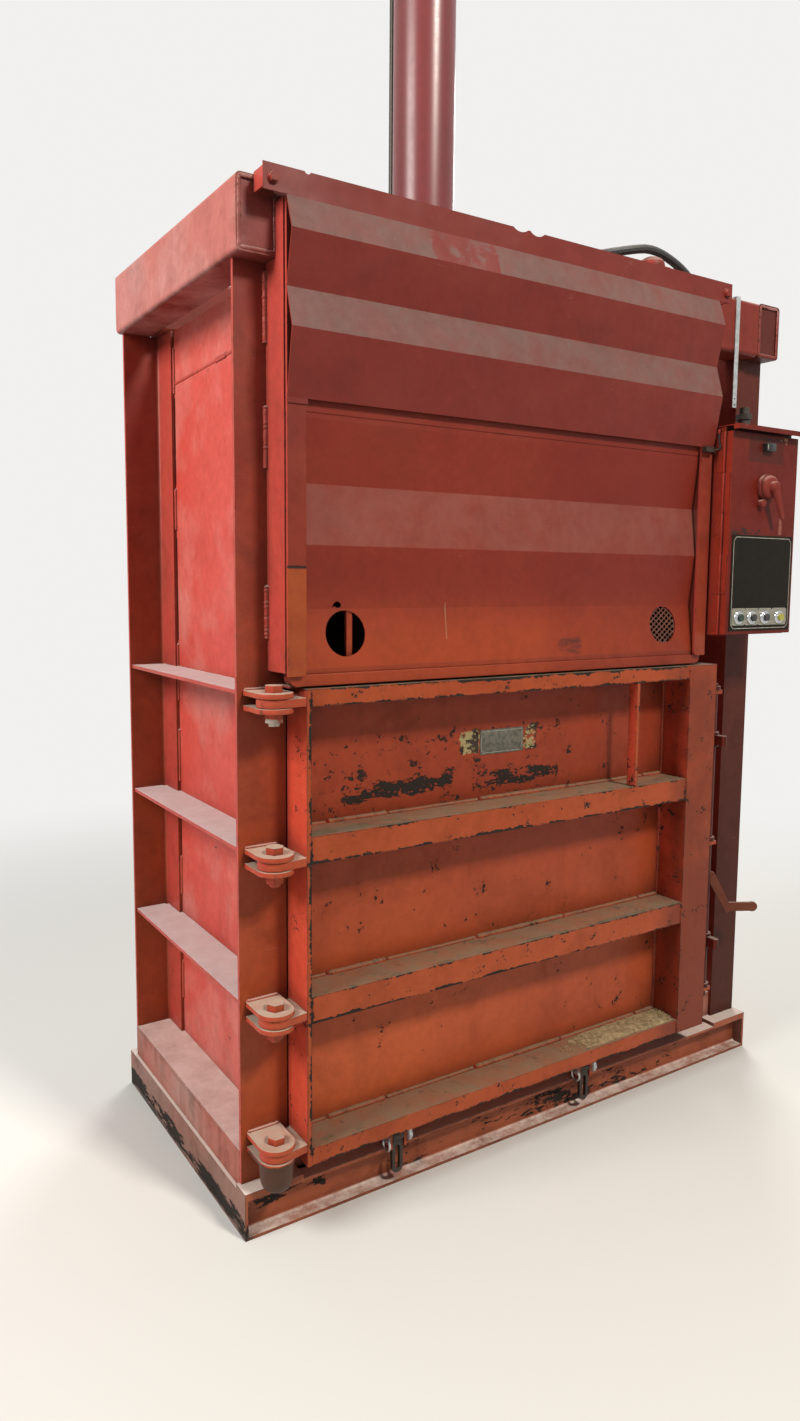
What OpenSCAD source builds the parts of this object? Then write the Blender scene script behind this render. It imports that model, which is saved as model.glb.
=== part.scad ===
// Vertical baler: a welded chamber with a hinged door, a sliding feed gate and a ram above.
// Millimetres. The origin is on the floor under the middle of the base, +X right, +Y back, +Z up.

/* [Base and floor] */
// Width of the bay between the chamber and the outer right posts
bay_w = 250; // [240:5:300]
// Depth of the base from front to back
base_d = 852; // [836:2:900]
// Height of the base channels
base_h = 105; // [92:1:108]
// Flange width of the floor channels
channel_flange = 41; // [35:1:44]
// Flange thickness of the floor channels
channel_flange_t = 8; // [6:1:10]
// Web thickness of the floor channels
channel_web_t = 6; // [5:1:8]
// Number of channels that cross under the floor
cross_count = 5; // [3:2:7]
// Height of the step frame between the base and the floor plate
step_h = 82; // [76:1:90]
// Thickness of the floor plate
floor_t = 10; // [8:1:14]
// Distance from the base's front to the face of the front posts
front_setback = 42; // [40:1:50]
// Distance from the base's back to the face of the rear posts
rear_setback = 35; // [32:1:45]
// Thickness of the plates under the front posts
foot_plate_t = 12; // [8:1:14]
// Width of the plates under the front posts
foot_plate_w = 154; // [144:2:164]
// Depth of the plates under the front posts
foot_plate_d = 52; // [50:1:56]

/* [Posts and walls] */
// Height of the post tops
post_top = 2245; // [2235:5:2300]
// Thickness of the post angles
post_t = 10; // [8:1:12]
// Width of a post's outward flange, from the wall to its toe
post_flange = 111; // [106:1:118]
// Depth of a post's leg along the wall
post_leg = 100; // [80:1:120]
// Radius in the root of the rolled sections
root_r = 8; // [4:1:10]
// Distance that the posts stand in from the base's sides
post_inset = 9; // [6:1:14]
// Thickness of the chamber walls
wall_t = 8; // [6:1:10]
// Inner width of the chamber
chamber_w = 1314; // [1290:2:1326]
// Overlap of a front post's flange past the wall into the door opening
jamb_overlap = 12; // [11:1:14]
// Height of the highest shelf and of the highest hinge
level_top = 1303; // [1290:1:1306]
// Drop from one shelf or hinge to the next
level_drop = 368; // [350:1:372]
// Height of the lowest hinge
low_hinge_z = 243; // [236:1:260]
// Thickness of a side shelf
shelf_t = 10; // [6:1:14]
// Depth of the channels along the back wall
back_rib_d = 35; // [25:1:35]
// Height of the channels along the back wall
back_rib_h = 60; // [50:1:80]
// Height of the flat bars along the right wall
side_rib_h = 60; // [40:1:80]

/* [Top frame] */
// Height of the top frame's beams
beam_h = 160; // [150:2:180]
// Width of the side beams and headers
beam_w = 100; // [90:1:110]
// Wall thickness of the beams
beam_wall = 10; // [8:1:12]
// Corner radius of the beams
beam_r = 12; // [11:1:14]
// Distance that the side beams stand out past the base's sides
beam_out = 5; // [0:1:8]
// Distance that the front header stands out past the front posts
beam_over = 50; // [46:1:54]
// Width of the two beams that carry the cylinder
ram_beam_w = 60; // [50:1:80]
// Distance between the middles of the two beams that carry the cylinder
ram_beam_pitch = 260; // [240:2:270]
// Side of the square plate under the cylinder
ram_plate_w = 300; // [296:2:316]
// Thickness of the plate under the cylinder
ram_plate_t = 20; // [16:1:24]

/* [Hinged door] */
// Height of the door's lower edge
door_bottom = 172; // [162:1:176]
// Height of the door's upper edge
door_top = 1308; // [1307:1:1310]
// Depth of the door's frame
door_d = 100; // [96:1:104]
// Thickness of the left stile, a flat bar
left_stile_t = 12; // [10:1:14]
// Width of the right stile
right_stile_w = 118; // [112:1:122]
// Wall thickness of the door's rails and of its right stile
rail_t = 8; // [5:1:10]
// Height of the top rail
top_rail_h = 40; // [34:1:46]
// Height of the bottom rail
bottom_rail_h = 42; // [36:1:50]
// Height of the two middle rails
mid_rail_h = 65; // [50:1:80]
// Height of the lower edge of the upper middle rail
upper_rail_z = 903; // [890:1:915]
// Height of the lower edge of the lower middle rail
lower_rail_z = 521; // [505:1:535]
// Distance that the rails' faces lie behind the stiles' faces
rail_recess = 2; // [1:0.5:3]
// Thickness of the door's back panel
door_panel_t = 6; // [4:0.5:8]
// Width of the upright grab bar
grab_w = 12; // [8:1:20]
// Depth of the upright grab bar
grab_d = 30; // [20:1:40]
// Distance from the grab bar's middle to the right stile
grab_gap = 217; // [150:1:400]
// Radius of the hinge bolts
pin_r = 12.5; // [10:0.5:14]
// Radius of the hinge ears on the post
ear_r = 44; // [36:1:46]
// Thickness of the hinge ears on the post
ear_t = 12; // [8:1:14]
// Thickness of the hinge ears on the door
door_ear_t = 20; // [16:1:24]
// Gap between two hinge ears
ear_gap = 1; // [0.5:0.1:1.5]

/* [Feed gate] */
// Height of the gate's lower edge
gate_bottom = 1313; // [1312:1:1316]
// Height of the gate
gate_h = 637; // [632:1:660]
// Thickness of the gate
gate_t = 32; // [30:1:34]
// Clearance of the gate in its guides, each side
gate_play = 2.5; // [1:0.5:3]
// Width of the gate's side bars
gate_bar_w = 30; // [26:1:40]
// Height of the gate's lower bar
gate_low_bar_h = 27; // [22:1:32]
// Thickness of the pleated sheets
sheet_t = 3; // [2:0.5:4]
// Depth of the pleats in the gate
gate_pleat = 16; // [14:1:22]
// Radius of the two round holes in the gate
view_r = 53; // [40:1:55]
// Thickness of the guides' front strips
guide_t = 8; // [6:1:10]

/* [Hood] */
// Height of the hood's upper edge
hood_top = 2416; // [2410:1:2430]
// Height of the flat band along the hood's top
hood_band_h = 55; // [45:1:60]
// Distance that the flat band reaches past the pleats at each side
hood_band_out = 54; // [52:1:60]
// Depth of the hood's pleats
hood_pleat = 25; // [15:1:26]

/* [Ram] */
// Outer radius of the cylinder barrel
barrel_r = 89; // [86:0.5:92]
// Inner radius of the cylinder barrel
bore_r = 76.2; // [70:0.2:80]
// Radius of the ram's rod
rod_r = 44.5; // [38:0.5:46]
// Running clearance of the rod and of the piston
ram_fit = 0.05; // [0.03:0.01:0.1]
// Travel of the ram
ram_travel = 1150; // [1050:10:1150]
// Thickness of the platen's plate
platen_t = 16; // [12:1:20]
// Height of the platen's ribs
platen_rib_h = 144; // [100:1:160]
// Gap between the platen and the chamber's walls
platen_gap = 10; // [6:1:20]

/* [Latch] */
// Radius of the latch shaft
latch_r = 16; // [12:1:18]
// Distance from the shaft's axis to a dog's tip
dog_reach = 58; // [50:1:58]
// Thickness of the latch's bearing plates
bearing_t = 12; // [8:1:16]
// Thickness of the latch lever
lever_t = 9; // [6:1:10]
// Height of the latch lever's bar
lever_h = 28; // [24:1:32]

/* [Control box] */
// Width of the control box
box_w = 305; // [300:1:310]
// Height of the control box
box_h = 606; // [600:1:640]
// Depth of the control box without its lid
box_d = 134; // [124:1:144]
// Thickness of the lid
lid_t = 24; // [20:1:28]
// Thickness of the box's sheet metal
box_sheet = 3; // [2:0.5:3.5]
// Height of the box's lower edge
box_z = 1398; // [1385:1:1405]
// Radius of a push button
button_r = 11; // [9:0.5:12]
// Travel of a push button
button_travel = 4; // [3:0.5:6]

/* [Power unit] */
// Height of the oil tank
tank_h = 400; // [300:5:480]
// Depth of the oil tank
tank_d = 470; // [420:5:480]
// Radius of the motor
motor_r = 85; // [70:1:90]
// Height of the motor
motor_h = 278; // [240:2:300]
// Radius of the pressure hose
hose_r = 12; // [10:0.5:12]

/* [Hidden] */
$fn = 48;

// Gap between two pieces that rest on each other but move apart
seat_gap = 0.3;
// Running clearance of a pin or shaft in its bore
pin_fit = 0.05;

// Faces of the posts and edges of the base
base_w = 2 * (post_inset + post_flange + wall_t) + chamber_w + bay_w;
base_x = base_w / 2;
base_y = base_d / 2;
front_y = front_setback - base_y;
rear_y = base_y - rear_setback;
step_z = base_h + step_h;
floor_z = step_z + floor_t;

// The chamber stands to the left, and a bay for the latch and the power unit lies on its right
left_wall = post_inset + post_flange - base_x;
right_wall = left_wall + 2 * wall_t + chamber_w;
chamber_x = (left_wall + right_wall) / 2;
bay_x = base_x - post_inset - post_flange;
wall_front = front_y + post_t;
wall_rear = rear_y - post_t;

// Heights of the hinges, highest first
hinge_tops = [level_top, level_top - level_drop, level_top - 2 * level_drop, low_hinge_z];
hinge_x = left_wall - 52;
hinge_y = front_y - 70;

// Door edges
door_left = left_wall + 15;
door_right = right_wall + 85;
door_front = front_y - door_d;
stile_in_left = door_left + left_stile_t;
stile_in_right = door_right - right_stile_w;

// Top frame
beam_top = post_top + beam_h;
beam_front = front_y - beam_over;
beam_rear = rear_y + 10;
side_beam_in = base_x + beam_out - beam_w;
ram_y = 20;
ram_plate_top = beam_top + ram_plate_t;

// Gate and guides, from back to front
guide_back = beam_front - 1;
slot_front = guide_back - gate_t - 2 * gate_play;
guide_front = slot_front - guide_t;
gate_back = guide_back - gate_play;
gate_front = gate_back - gate_t;
gate_left = left_wall - 20;
gate_right = right_wall + 20;
gate_top = gate_bottom + gate_h;
guide_plate_t = 10;
guide_out = 33;
guide_bottom = gate_bottom + 25;
hood_bottom = gate_top - 5;

// Ram, lowest first
head_h = 90;
head_top = ram_plate_top + head_h;
piston_h = 50;
piston_z = head_top + 5 + ram_travel;
barrel_top = piston_z + piston_h + 20;
cap_t = 40;
socket_top = post_top - 20;
platen_z = socket_top - platen_rib_h - platen_t - 105;
rod_bottom = platen_z + platen_t;

// Latch
latch_x = door_right + 65;
latch_y = front_y - 36;
latch_bottom = 230;
latch_top = 1240;
bearing_zs = [260, 740, 1220];
dog_zs = [400, 1050];

// Control box and its lid
box_x = right_wall + guide_out + 7;
box_front = front_y - box_d;
box_top = box_z + box_h;
lid_z = box_z + 3;
lid_top = box_top - 14;
lid_back = box_front - seat_gap;
lid_front = box_front - lid_t;
lid_axis_x = box_x - 4.5;
knuckle_r = 4;
hub_x = box_x + 157;
hub_z = box_z + box_h * 438 / 606;
button_xs = [55, 115, 177, 245];
button_z = box_z + 52;
ring_r = button_r + 4;
ring_front = lid_front - 10;

// Tie links on the front of the base
tie_xs = [-490, 165];
tie_z = base_h + 27;
tie_y = -base_y - 6;
tie_pin_r = 5;

// Power unit in the bay
tank_x0 = right_wall + 20;
tank_x1 = bay_x - 10;
tank_x = (tank_x0 + tank_x1) / 2;
tank_y1 = wall_rear - 11;
tank_y0 = tank_y1 - tank_d;
tank_top = floor_z + tank_h;
motor_y = tank_y1 - 120;
motor_top = tank_top + 8 + motor_h;
valve_x = tank_x + 20;
valve_y = tank_y0 + 80;
valve_top = tank_top + 73;
port_h = 17;

// Places where the hose, the pipe and the cable end, and the dome that the hose passes over
port_x = chamber_x + barrel_r + 24;
port_z = ram_plate_top + 45;
cap_port_y = ram_y + barrel_r + 22;
cap_port_z = barrel_top - 40;
pipe_y = ram_y + 170;
dome_x = right_wall - 155;
switch_x = right_wall + 18;
switch_y = guide_front - sheet_t - 7;
nipple_y = box_front + 21;
nipple_z = box_top - 12;

// Routes of the hose, the pipe and the cable
hose_route = [[port_x, ram_y, port_z], [port_x + 45, ram_y, port_z],
    [port_x + 142, ram_y - 200, port_z - 8],
    [dome_x - 205, beam_front + 84, beam_top + 47], [dome_x - 115, beam_front + 36, beam_top + 65],
    [dome_x - 17, beam_front + 32, beam_top + 89], [dome_x + 75, beam_front + 34, beam_top + 71],
    [dome_x + 175, beam_front + 49, beam_top + 41], [valve_x - 50, beam_front + 114, beam_top + 20],
    [valve_x - 4, beam_front + 174, beam_top - 65], [valve_x + 2, beam_front + 224, beam_top - 245],
    [valve_x + 4, valve_y - 100, motor_top + 617], [valve_x + 4, valve_y - 10, motor_top + 17],
    [valve_x, valve_y, valve_top + port_h + 60], [valve_x, valve_y, valve_top + port_h]];
pipe_route = [[chamber_x, cap_port_y, cap_port_z], [chamber_x, pipe_y, cap_port_z],
    [chamber_x, pipe_y, beam_top + 45], [valve_x - 100, pipe_y, beam_top + 45],
    [valve_x - 50, pipe_y, beam_top - 55], [valve_x - 50, pipe_y, motor_top + 117],
    [valve_x - 40, valve_y + 40, motor_top + 17], [valve_x - 40, valve_y + 40, valve_top + port_h]];
cable_route = [[switch_x, switch_y, hood_bottom - 7], [switch_x + 12, switch_y, hood_bottom - 7],
    [box_x - 5, nipple_y - 8, nipple_z - 50], [box_x - 5, nipple_y, nipple_z - 25],
    [box_x - 5, nipple_y, nipple_z - 8]];

// A box between pairs of coordinates
module block(x, y, z) {
    translate([x[0], y[0], z[0]]) cube([x[1] - x[0], y[1] - y[0], z[1] - z[0]]);
}

// The children and their mirror image about the middle of the chamber
module both_sides() {
    children();
    translate([2 * chamber_x, 0, 0]) mirror([1, 0, 0]) children();
}

// The children mirrored about the middle of the chamber
module right_side() {
    translate([2 * chamber_x, 0, 0]) mirror([1, 0, 0]) children();
}

// A shape drawn in X and Z and thickened towards +Y from y
module plate_xz(y, t) {
    translate([0, y + t, 0]) rotate([90, 0, 0]) linear_extrude(t) children();
}

// A cylinder along Y from y0 to y1
module rod_y(x, z, r, y0, y1) {
    translate([x, y1, z]) rotate([90, 0, 0]) cylinder(r = r, h = y1 - y0);
}

// A cylinder along X from x0 to x1
module rod_x(y, z, r, x0, x1) {
    translate([x0, y, z]) rotate([0, 90, 0]) cylinder(r = r, h = x1 - x0);
}

// A hexagon prism with af across its flats
module hexagon(af, h) {
    cylinder(r = af / sqrt(3), h = h, $fn = 6);
}

// A rectangle with round corners, its lower left corner at the origin
module round_rect(w, h, r) {
    translate([r, 0]) square([w - 2 * r, h]);
    translate([0, r]) square([w, h - 2 * r]);
    for (x = [r, w - r], y = [r, h - r]) translate([x, y]) circle(r);
}

// The fillet in an inside corner at the origin, opening towards +X and +Y
module root_fillet(r) {
    difference() {
        square(r);
        translate([r, r]) circle(r);
    }
}

// Profile of a channel: web along Y at X = 0, flanges towards +X
module channel_profile(h) {
    square([channel_web_t, h]);
    square([channel_flange, channel_flange_t]);
    translate([0, h - channel_flange_t]) square([channel_flange, channel_flange_t]);
    translate([channel_web_t, channel_flange_t]) root_fillet(root_r);
    translate([channel_web_t, h - channel_flange_t]) mirror([0, 1]) root_fillet(root_r);
}

// A channel that runs along X, its web on the side given by outward flanges
module channel_x(x0, x1, web_y, side, z, h) {
    translate([x0, web_y, z]) rotate([90, 0, 90]) linear_extrude(x1 - x0)
        scale_y_side(side) channel_profile(h);
}

// The children as they are for side 1, mirrored for side -1
module scale_y_side(side) {
    if (side > 0) children();
    else mirror([1, 0]) children();
}

// A channel that runs along Y, flanges towards +X for side 1 and towards -X for side -1
module channel_y(web_x, side, y0, y1, z, h) {
    translate([web_x, y1, z]) rotate([90, 0, 0]) linear_extrude(y1 - y0)
        scale_y_side(side) channel_profile(h);
}

// A rectangular tube along Y from y0 to y1, w wide from x
module tube_y(x, w, y0, y1, z) {
    translate([x, y1, z]) rotate([90, 0, 0]) linear_extrude(y1 - y0) tube_profile(w);
}

// A rectangular tube along X from x0 to x1, w wide from y
module tube_x(x0, x1, y, w, z) {
    translate([x0, y, z]) rotate([90, 0, 90]) linear_extrude(x1 - x0) tube_profile(w);
}

module tube_profile(w) {
    difference() {
        round_rect(w, beam_h, beam_r);
        translate([beam_wall, beam_wall])
            round_rect(w - 2 * beam_wall, beam_h - 2 * beam_wall, beam_r - beam_wall + 1);
    }
}

// Unit vector along v
function unit(v) = v / norm(v);

// One corner of a route rounded by a curve that starts and ends at most r from the corner
function corner(a, b, c, r) =
    let (
        s = min(r, norm(b - a) / 2, norm(c - b) / 2),
        p = b + unit(a - b) * s,
        q = b + unit(c - b) * s
    )
    [for (t = [0:0.25:1]) (1 - t) * (1 - t) * p + 2 * t * (1 - t) * b + t * t * q];

// A route with its inner corners rounded
function rounded(route, r) =
    let (last = len(route) - 1)
    concat([route[0]], [for (i = [1:last - 1]) each corner(route[i - 1], route[i], route[i + 1], r)],
        [route[last]]);

// The route without points that lie closer than gap to the one before
function thinned(p, gap) =
    [for (i = [0:len(p) - 1]) if (i == 0 || i == len(p) - 1 || norm(p[i] - p[i - 1]) > gap) p[i]];

function tangent(p, i) = unit(p[min(i + 1, len(p) - 1)] - p[max(i - 1, 0)]);

// The part of n that is square to t
function squared(n, t) = unit(n - (n * t) * t);

// A direction square to the route at each point, carried along without twist
function side_directions(p) =
    [for (i = 0, n = squared([0.13, 0.31, 0.94], tangent(p, 0)); i < len(p);
        i = i + 1, n = squared(n, tangent(p, min(i, len(p) - 1)))) n];

// A round tube of radius r along the points p
module swept(p, r, sides) {
    n = side_directions(p);
    count = len(p);
    points = [for (i = [0:count - 1], k = [0:sides - 1])
        let (t = tangent(p, i), a = 360 * k / sides)
        p[i] + r * (cos(a) * n[i] + sin(a) * cross(t, n[i]))];
    faces = concat(
        [[for (k = [0:sides - 1]) k]],
        [for (i = [0:count - 2], k = [0:sides - 1])
            let (m = (k + 1) % sides)
            [i * sides + k, (i + 1) * sides + k, (i + 1) * sides + m, i * sides + m]],
        [[for (k = [sides - 1:-1:0]) (count - 1) * sides + k]]);
    polyhedron(points = points, faces = faces, convexity = 4);
}

// Floor channels: a front and a rear one, two at the sides and those that cross below the floor
module base_frame() {
    web_y = base_y - channel_flange;
    pitch = (base_w - 2 * channel_flange_t) / (cross_count + 1);
    color("firebrick") {
        channel_x(-base_x + channel_flange_t, base_x - channel_flange_t, -web_y, -1, 0, base_h);
        channel_x(-base_x + channel_flange_t, base_x - channel_flange_t, web_y, 1, 0, base_h);
        for (side = [-1, 1]) {
            channel_y(side * base_x, -side, -web_y, web_y, 0, base_h);
            block(side > 0 ? [base_x - channel_flange_t, base_x] : [-base_x, channel_flange_t - base_x],
                [-base_y, base_y], [0, base_h]);
            block(side > 0 ? [base_x - foot_plate_w, base_x] : [-base_x, foot_plate_w - base_x],
                [-base_y, foot_plate_d - base_y], [base_h, base_h + foot_plate_t]);
        }
        for (i = [1:cross_count])
            channel_y(pitch * (i - (cross_count + 1) / 2) - channel_flange / 2, 1, -web_y, web_y,
                0, base_h);
    }
}

// The narrower frame that lifts the floor plate above the base, leaving a ledge all round
module step_frame() {
    x1 = base_x - post_inset;
    pitch = (base_w - 2 * channel_flange_t) / (cross_count + 1);
    color("firebrick") {
        channel_x(-x1, x1, wall_front, 1, base_h, step_h);
        channel_x(-x1, x1, rear_y, -1, base_h, step_h);
        channel_y(-x1, 1, wall_front, rear_y, base_h, step_h);
        channel_y(x1, -1, wall_front, rear_y, base_h, step_h);
        for (i = [1:cross_count])
            channel_y(pitch * (i - (cross_count + 1) / 2) - channel_flange / 2, 1, wall_front, rear_y,
                base_h, step_h);
    }
}

module floor_plate() {
    x1 = base_x - post_inset;
    color("firebrick") block([-x1, x1], [wall_front, rear_y], [step_z, floor_z]);
}

// Plan of a post: a flange across the front, from x0 to x1, and a leg along the wall at the origin
module post_plan(x0, x1) {
    translate([x0, 0]) square([x1 - x0, post_t]);
    translate([-post_t, post_t]) square([post_t, post_leg]);
    translate([-post_t, post_t]) mirror([1, 0]) root_fillet(root_r);
}

// A post on the left whose wall face is at x: the flange runs outwards to the toe
module front_post(x) {
    translate([x, front_y, 0]) {
        translate([0, 0, base_h + foot_plate_t]) linear_extrude(floor_z - base_h - foot_plate_t)
            translate([-post_flange, 0]) square([post_flange + jamb_overlap, post_t]);
        translate([0, 0, floor_z]) linear_extrude(post_top - floor_z) post_plan(-post_flange, jamb_overlap);
    }
}

module rear_post(x) {
    translate([x, rear_y, floor_z]) mirror([0, 1, 0]) linear_extrude(post_top - floor_z)
        post_plan(-post_flange, 0);
}

module post_front_left() {
    color("firebrick") front_post(left_wall);
}

module post_rear_left() {
    color("firebrick") rear_post(left_wall);
}

module jamb_post_front() {
    color("firebrick") right_side() front_post(left_wall);
}

module jamb_post_rear() {
    color("firebrick") right_side() rear_post(left_wall);
}

// The outer right posts have no wall: the flange ends at the bay
module post_front_right() {
    color("firebrick") {
        block([bay_x, bay_x + post_flange], [front_y, wall_front], [base_h + foot_plate_t, floor_z]);
        translate([bay_x, front_y, floor_z]) mirror([1, 0, 0]) linear_extrude(post_top - floor_z)
            post_plan(-post_flange, 0);
    }
}

module post_rear_right() {
    color("firebrick") translate([bay_x, rear_y, floor_z]) mirror([1, 0, 0]) mirror([0, 1, 0])
        linear_extrude(post_top - floor_z) post_plan(-post_flange, 0);
}

// The chamber's walls
module wall_left() {
    color("firebrick") block([left_wall, left_wall + wall_t], [wall_front, wall_rear], [floor_z, post_top]);
}

// The right wall is stiffened by flat bars between its posts
module wall_right() {
    color("firebrick") {
        block([right_wall - wall_t, right_wall], [wall_front, wall_rear], [floor_z, post_top]);
        for (i = [0:2])
            block([right_wall, right_wall + wall_t],
                [wall_front + post_leg + 4, wall_rear - post_leg - 4],
                [level_top - i * level_drop - side_rib_h, level_top - i * level_drop]);
    }
}

// The back wall is stiffened by channels that lie on it
module wall_back() {
    z_top = post_top - 120;
    color("firebrick") {
        block([left_wall, right_wall], [wall_rear, wall_rear + wall_t], [floor_z, post_top]);
        for (z = [z_top, level_top, level_top - level_drop, level_top - 2 * level_drop])
            difference() {
                block([left_wall + 10, right_wall - 10],
                    [wall_rear + wall_t, wall_rear + wall_t + back_rib_d], [z - back_rib_h, z]);
                block([left_wall, right_wall],
                    [wall_rear + wall_t - 1, wall_rear + wall_t + back_rib_d - channel_web_t],
                    [z - back_rib_h + channel_web_t, z - channel_web_t]);
            }
    }
}

// Shelves along the outside of the left wall, and flat bars between the outer right posts
module shelves() {
    x0 = left_wall - post_flange + 5;
    for (i = [0:2]) {
        z1 = level_top - i * level_drop;
        color("rosybrown") difference() {
            block([x0, left_wall], [wall_front, wall_rear], [z1 - shelf_t, z1]);
            for (y = [wall_front, wall_rear - post_leg])
                block([left_wall - post_t, left_wall + 1], [y - 1, y + post_leg + 1],
                    [z1 - shelf_t - 1, z1 + 1]);
            translate([left_wall - post_t, wall_front, z1 - shelf_t - 1]) linear_extrude(shelf_t + 2)
                mirror([1, 0]) square(root_r);
            translate([left_wall - post_t, wall_rear, z1 - shelf_t - 1]) linear_extrude(shelf_t + 2)
                mirror([1, 0]) mirror([0, 1]) square(root_r);
        }
        color("firebrick") block([bay_x + post_t, bay_x + post_t + 8],
            [wall_front + 44, wall_rear - 51], [z1 - 60, z1]);
    }
}

// Side beams of the top frame: tubes whose front end is closed by a plate set in by a weld bead
module side_beam() {
    x0 = -base_x - beam_out;
    tube_y(x0, beam_w, beam_front, beam_rear, post_top);
    block([x0 + beam_wall, x0 + beam_w - beam_wall], [beam_front + 3, beam_front + 9],
        [post_top + beam_wall, beam_top - beam_wall]);
}

module side_beam_left() {
    color("firebrick") side_beam();
}

module side_beam_right() {
    color("firebrick") mirror([1, 0, 0]) side_beam();
}

module header_front() {
    color("firebrick") tube_x(-side_beam_in, side_beam_in, beam_front, beam_w, post_top);
}

module header_rear() {
    color("firebrick") tube_x(-side_beam_in, side_beam_in, beam_rear - beam_w, beam_w, post_top);
}

// Two beams and a bored plate carry the cylinder
module cylinder_mount() {
    half = ram_plate_w / 2;
    color("firebrick") {
        for (side = [-1, 1])
            tube_y(chamber_x + side * ram_beam_pitch / 2 - ram_beam_w / 2, ram_beam_w,
                beam_front + beam_w, beam_rear - beam_w, post_top);
        difference() {
            block([chamber_x - half, chamber_x + half], [ram_y - half, ram_y + half],
                [beam_top, ram_plate_top]);
            translate([chamber_x, ram_y, beam_top - 1]) cylinder(r = rod_r + 6, h = ram_plate_t + 2);
        }
    }
}

// Guide for one side of the gate: a side plate, a front strip with a round lower corner, a back strip
module gate_guide() {
    plate_x = left_wall - guide_out;
    strip_in = left_wall + 17;
    corner_r = 12;
    block([plate_x, plate_x + guide_plate_t], [slot_front, front_y], [guide_bottom + 7, post_top]);
    block([plate_x, plate_x + guide_plate_t], [slot_front, beam_front],
        [post_top, hood_top - hood_band_h - 3]);
    plate_xz(guide_front, guide_t) {
        translate([plate_x + 4, guide_bottom + corner_r])
            square([strip_in - plate_x - 4, hood_top - hood_band_h - 3 - guide_bottom - corner_r]);
        translate([plate_x + 4, guide_bottom]) square([strip_in - plate_x - 4 - corner_r, corner_r + 1]);
        translate([strip_in - corner_r, guide_bottom + corner_r]) circle(corner_r);
    }
    block([plate_x + guide_plate_t, left_wall + 7], [guide_back, guide_back + 6],
        [guide_bottom + 7, post_top - 5]);
    block([left_wall - 10, left_wall + 5], [guide_back - 15, front_y],
        [door_top + 0.5, gate_bottom - seat_gap]);
}

module gate_guide_left() {
    color("firebrick") gate_guide();
}

module gate_guide_right() {
    color("firebrick") right_side() gate_guide();
}

// Front line of the hood's pleats, from the lower edge up, as Y and Z
function hood_line() =
    let (
        z1 = hood_top - hood_band_h,
        h = z1 - hood_bottom,
        y = guide_front
    )
    [[y, hood_bottom], [y - hood_pleat, hood_bottom + 0.344 * h], [y, hood_bottom + 0.553 * h],
        [y - hood_pleat, hood_bottom + 0.825 * h], [y, z1]];

// A sheet that follows a line of Y and Z points, from x0 to x1
module pleated_sheet(line, x0, x1) {
    last = len(line) - 1;
    outline = concat(line, [for (i = [last:-1:0]) line[i] - [sheet_t, 0]]);
    translate([x0, 0, 0]) rotate([90, 0, 90]) linear_extrude(x1 - x0) polygon(outline);
}

// The hood over the open gate: a flat band, pleats below it and a small tab at each lower corner.
// Two bites and a nick are worn into its upper edge.
module hood() {
    x0 = left_wall - 30;
    x1 = right_wall + 30;
    color("indianred") difference() {
        union() {
            block([x0 - hood_band_out, x1 + hood_band_out], [guide_front - sheet_t, guide_front],
                [hood_top - hood_band_h, hood_top]);
            pleated_sheet(hood_line(), x0, x1);
            both_sides() block([x0, x0 + 50], [guide_front - sheet_t, guide_front],
                [hood_bottom - 12, hood_bottom]);
        }
        for (bite = [[-53, 40, 32], [1, 35, 26], [-644, 8, 3]])
            rod_y(chamber_x + bite[0], hood_top + bite[2], bite[1], guide_front - sheet_t - 1,
                guide_front + 1);
        both_sides() rod_y(x0 - 31, hood_top - 28, 6, guide_front - sheet_t - 1, guide_front + 1);
    }
}

// Brackets on the top frame behind the band's ends, each with a bolt, two washers and a nut
module hood_fixings() {
    x0 = left_wall - 30 - hood_band_out + 1;
    bolt_x = left_wall - 61;
    bolt_z = hood_top - 28;
    both_sides() {
        color("firebrick") difference() {
            union() {
                block([x0, x0 + 6], [guide_front, beam_front], [bolt_z - 21, bolt_z + 21]);
                block([x0, x0 + 44], [guide_front, guide_front + 6], [bolt_z - 21, bolt_z + 21]);
                block([x0, x0 + 44], [beam_front - 6, beam_front], [bolt_z - 21, bolt_z + 21]);
            }
            rod_y(bolt_x, bolt_z, 6, guide_front - 1, guide_front + 7);
        }
        color("silver") {
            rod_y(bolt_x, bolt_z, 6, guide_front - sheet_t - 2.5, guide_front + 18);
            rod_y(bolt_x, bolt_z, 14, guide_front - sheet_t - 2.5, guide_front - sheet_t);
            translate([bolt_x, guide_front - sheet_t - 2.5, bolt_z]) rotate([90, 0, 0]) hexagon(19, 7);
            translate([bolt_x, guide_front + 16, bolt_z]) rotate([90, 0, 0]) hexagon(19, 10);
        }
    }
}

// One hinge ear on the post, its upper face at z
module post_ear(z) {
    translate([hinge_x, hinge_y, z - ear_t]) linear_extrude(ear_t) difference() {
        union() {
            circle(ear_r);
            translate([-ear_r, 0]) square([2 * ear_r, front_y - hinge_y]);
        }
        circle(pin_r + pin_fit);
    }
}

// Heights below a hinge's top: the upper post ear, the door ear and the lower post ear
function door_ear_z(top) = top - ear_t - ear_gap;
function low_ear_z(top) = door_ear_z(top) - door_ear_t - ear_gap;

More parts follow.
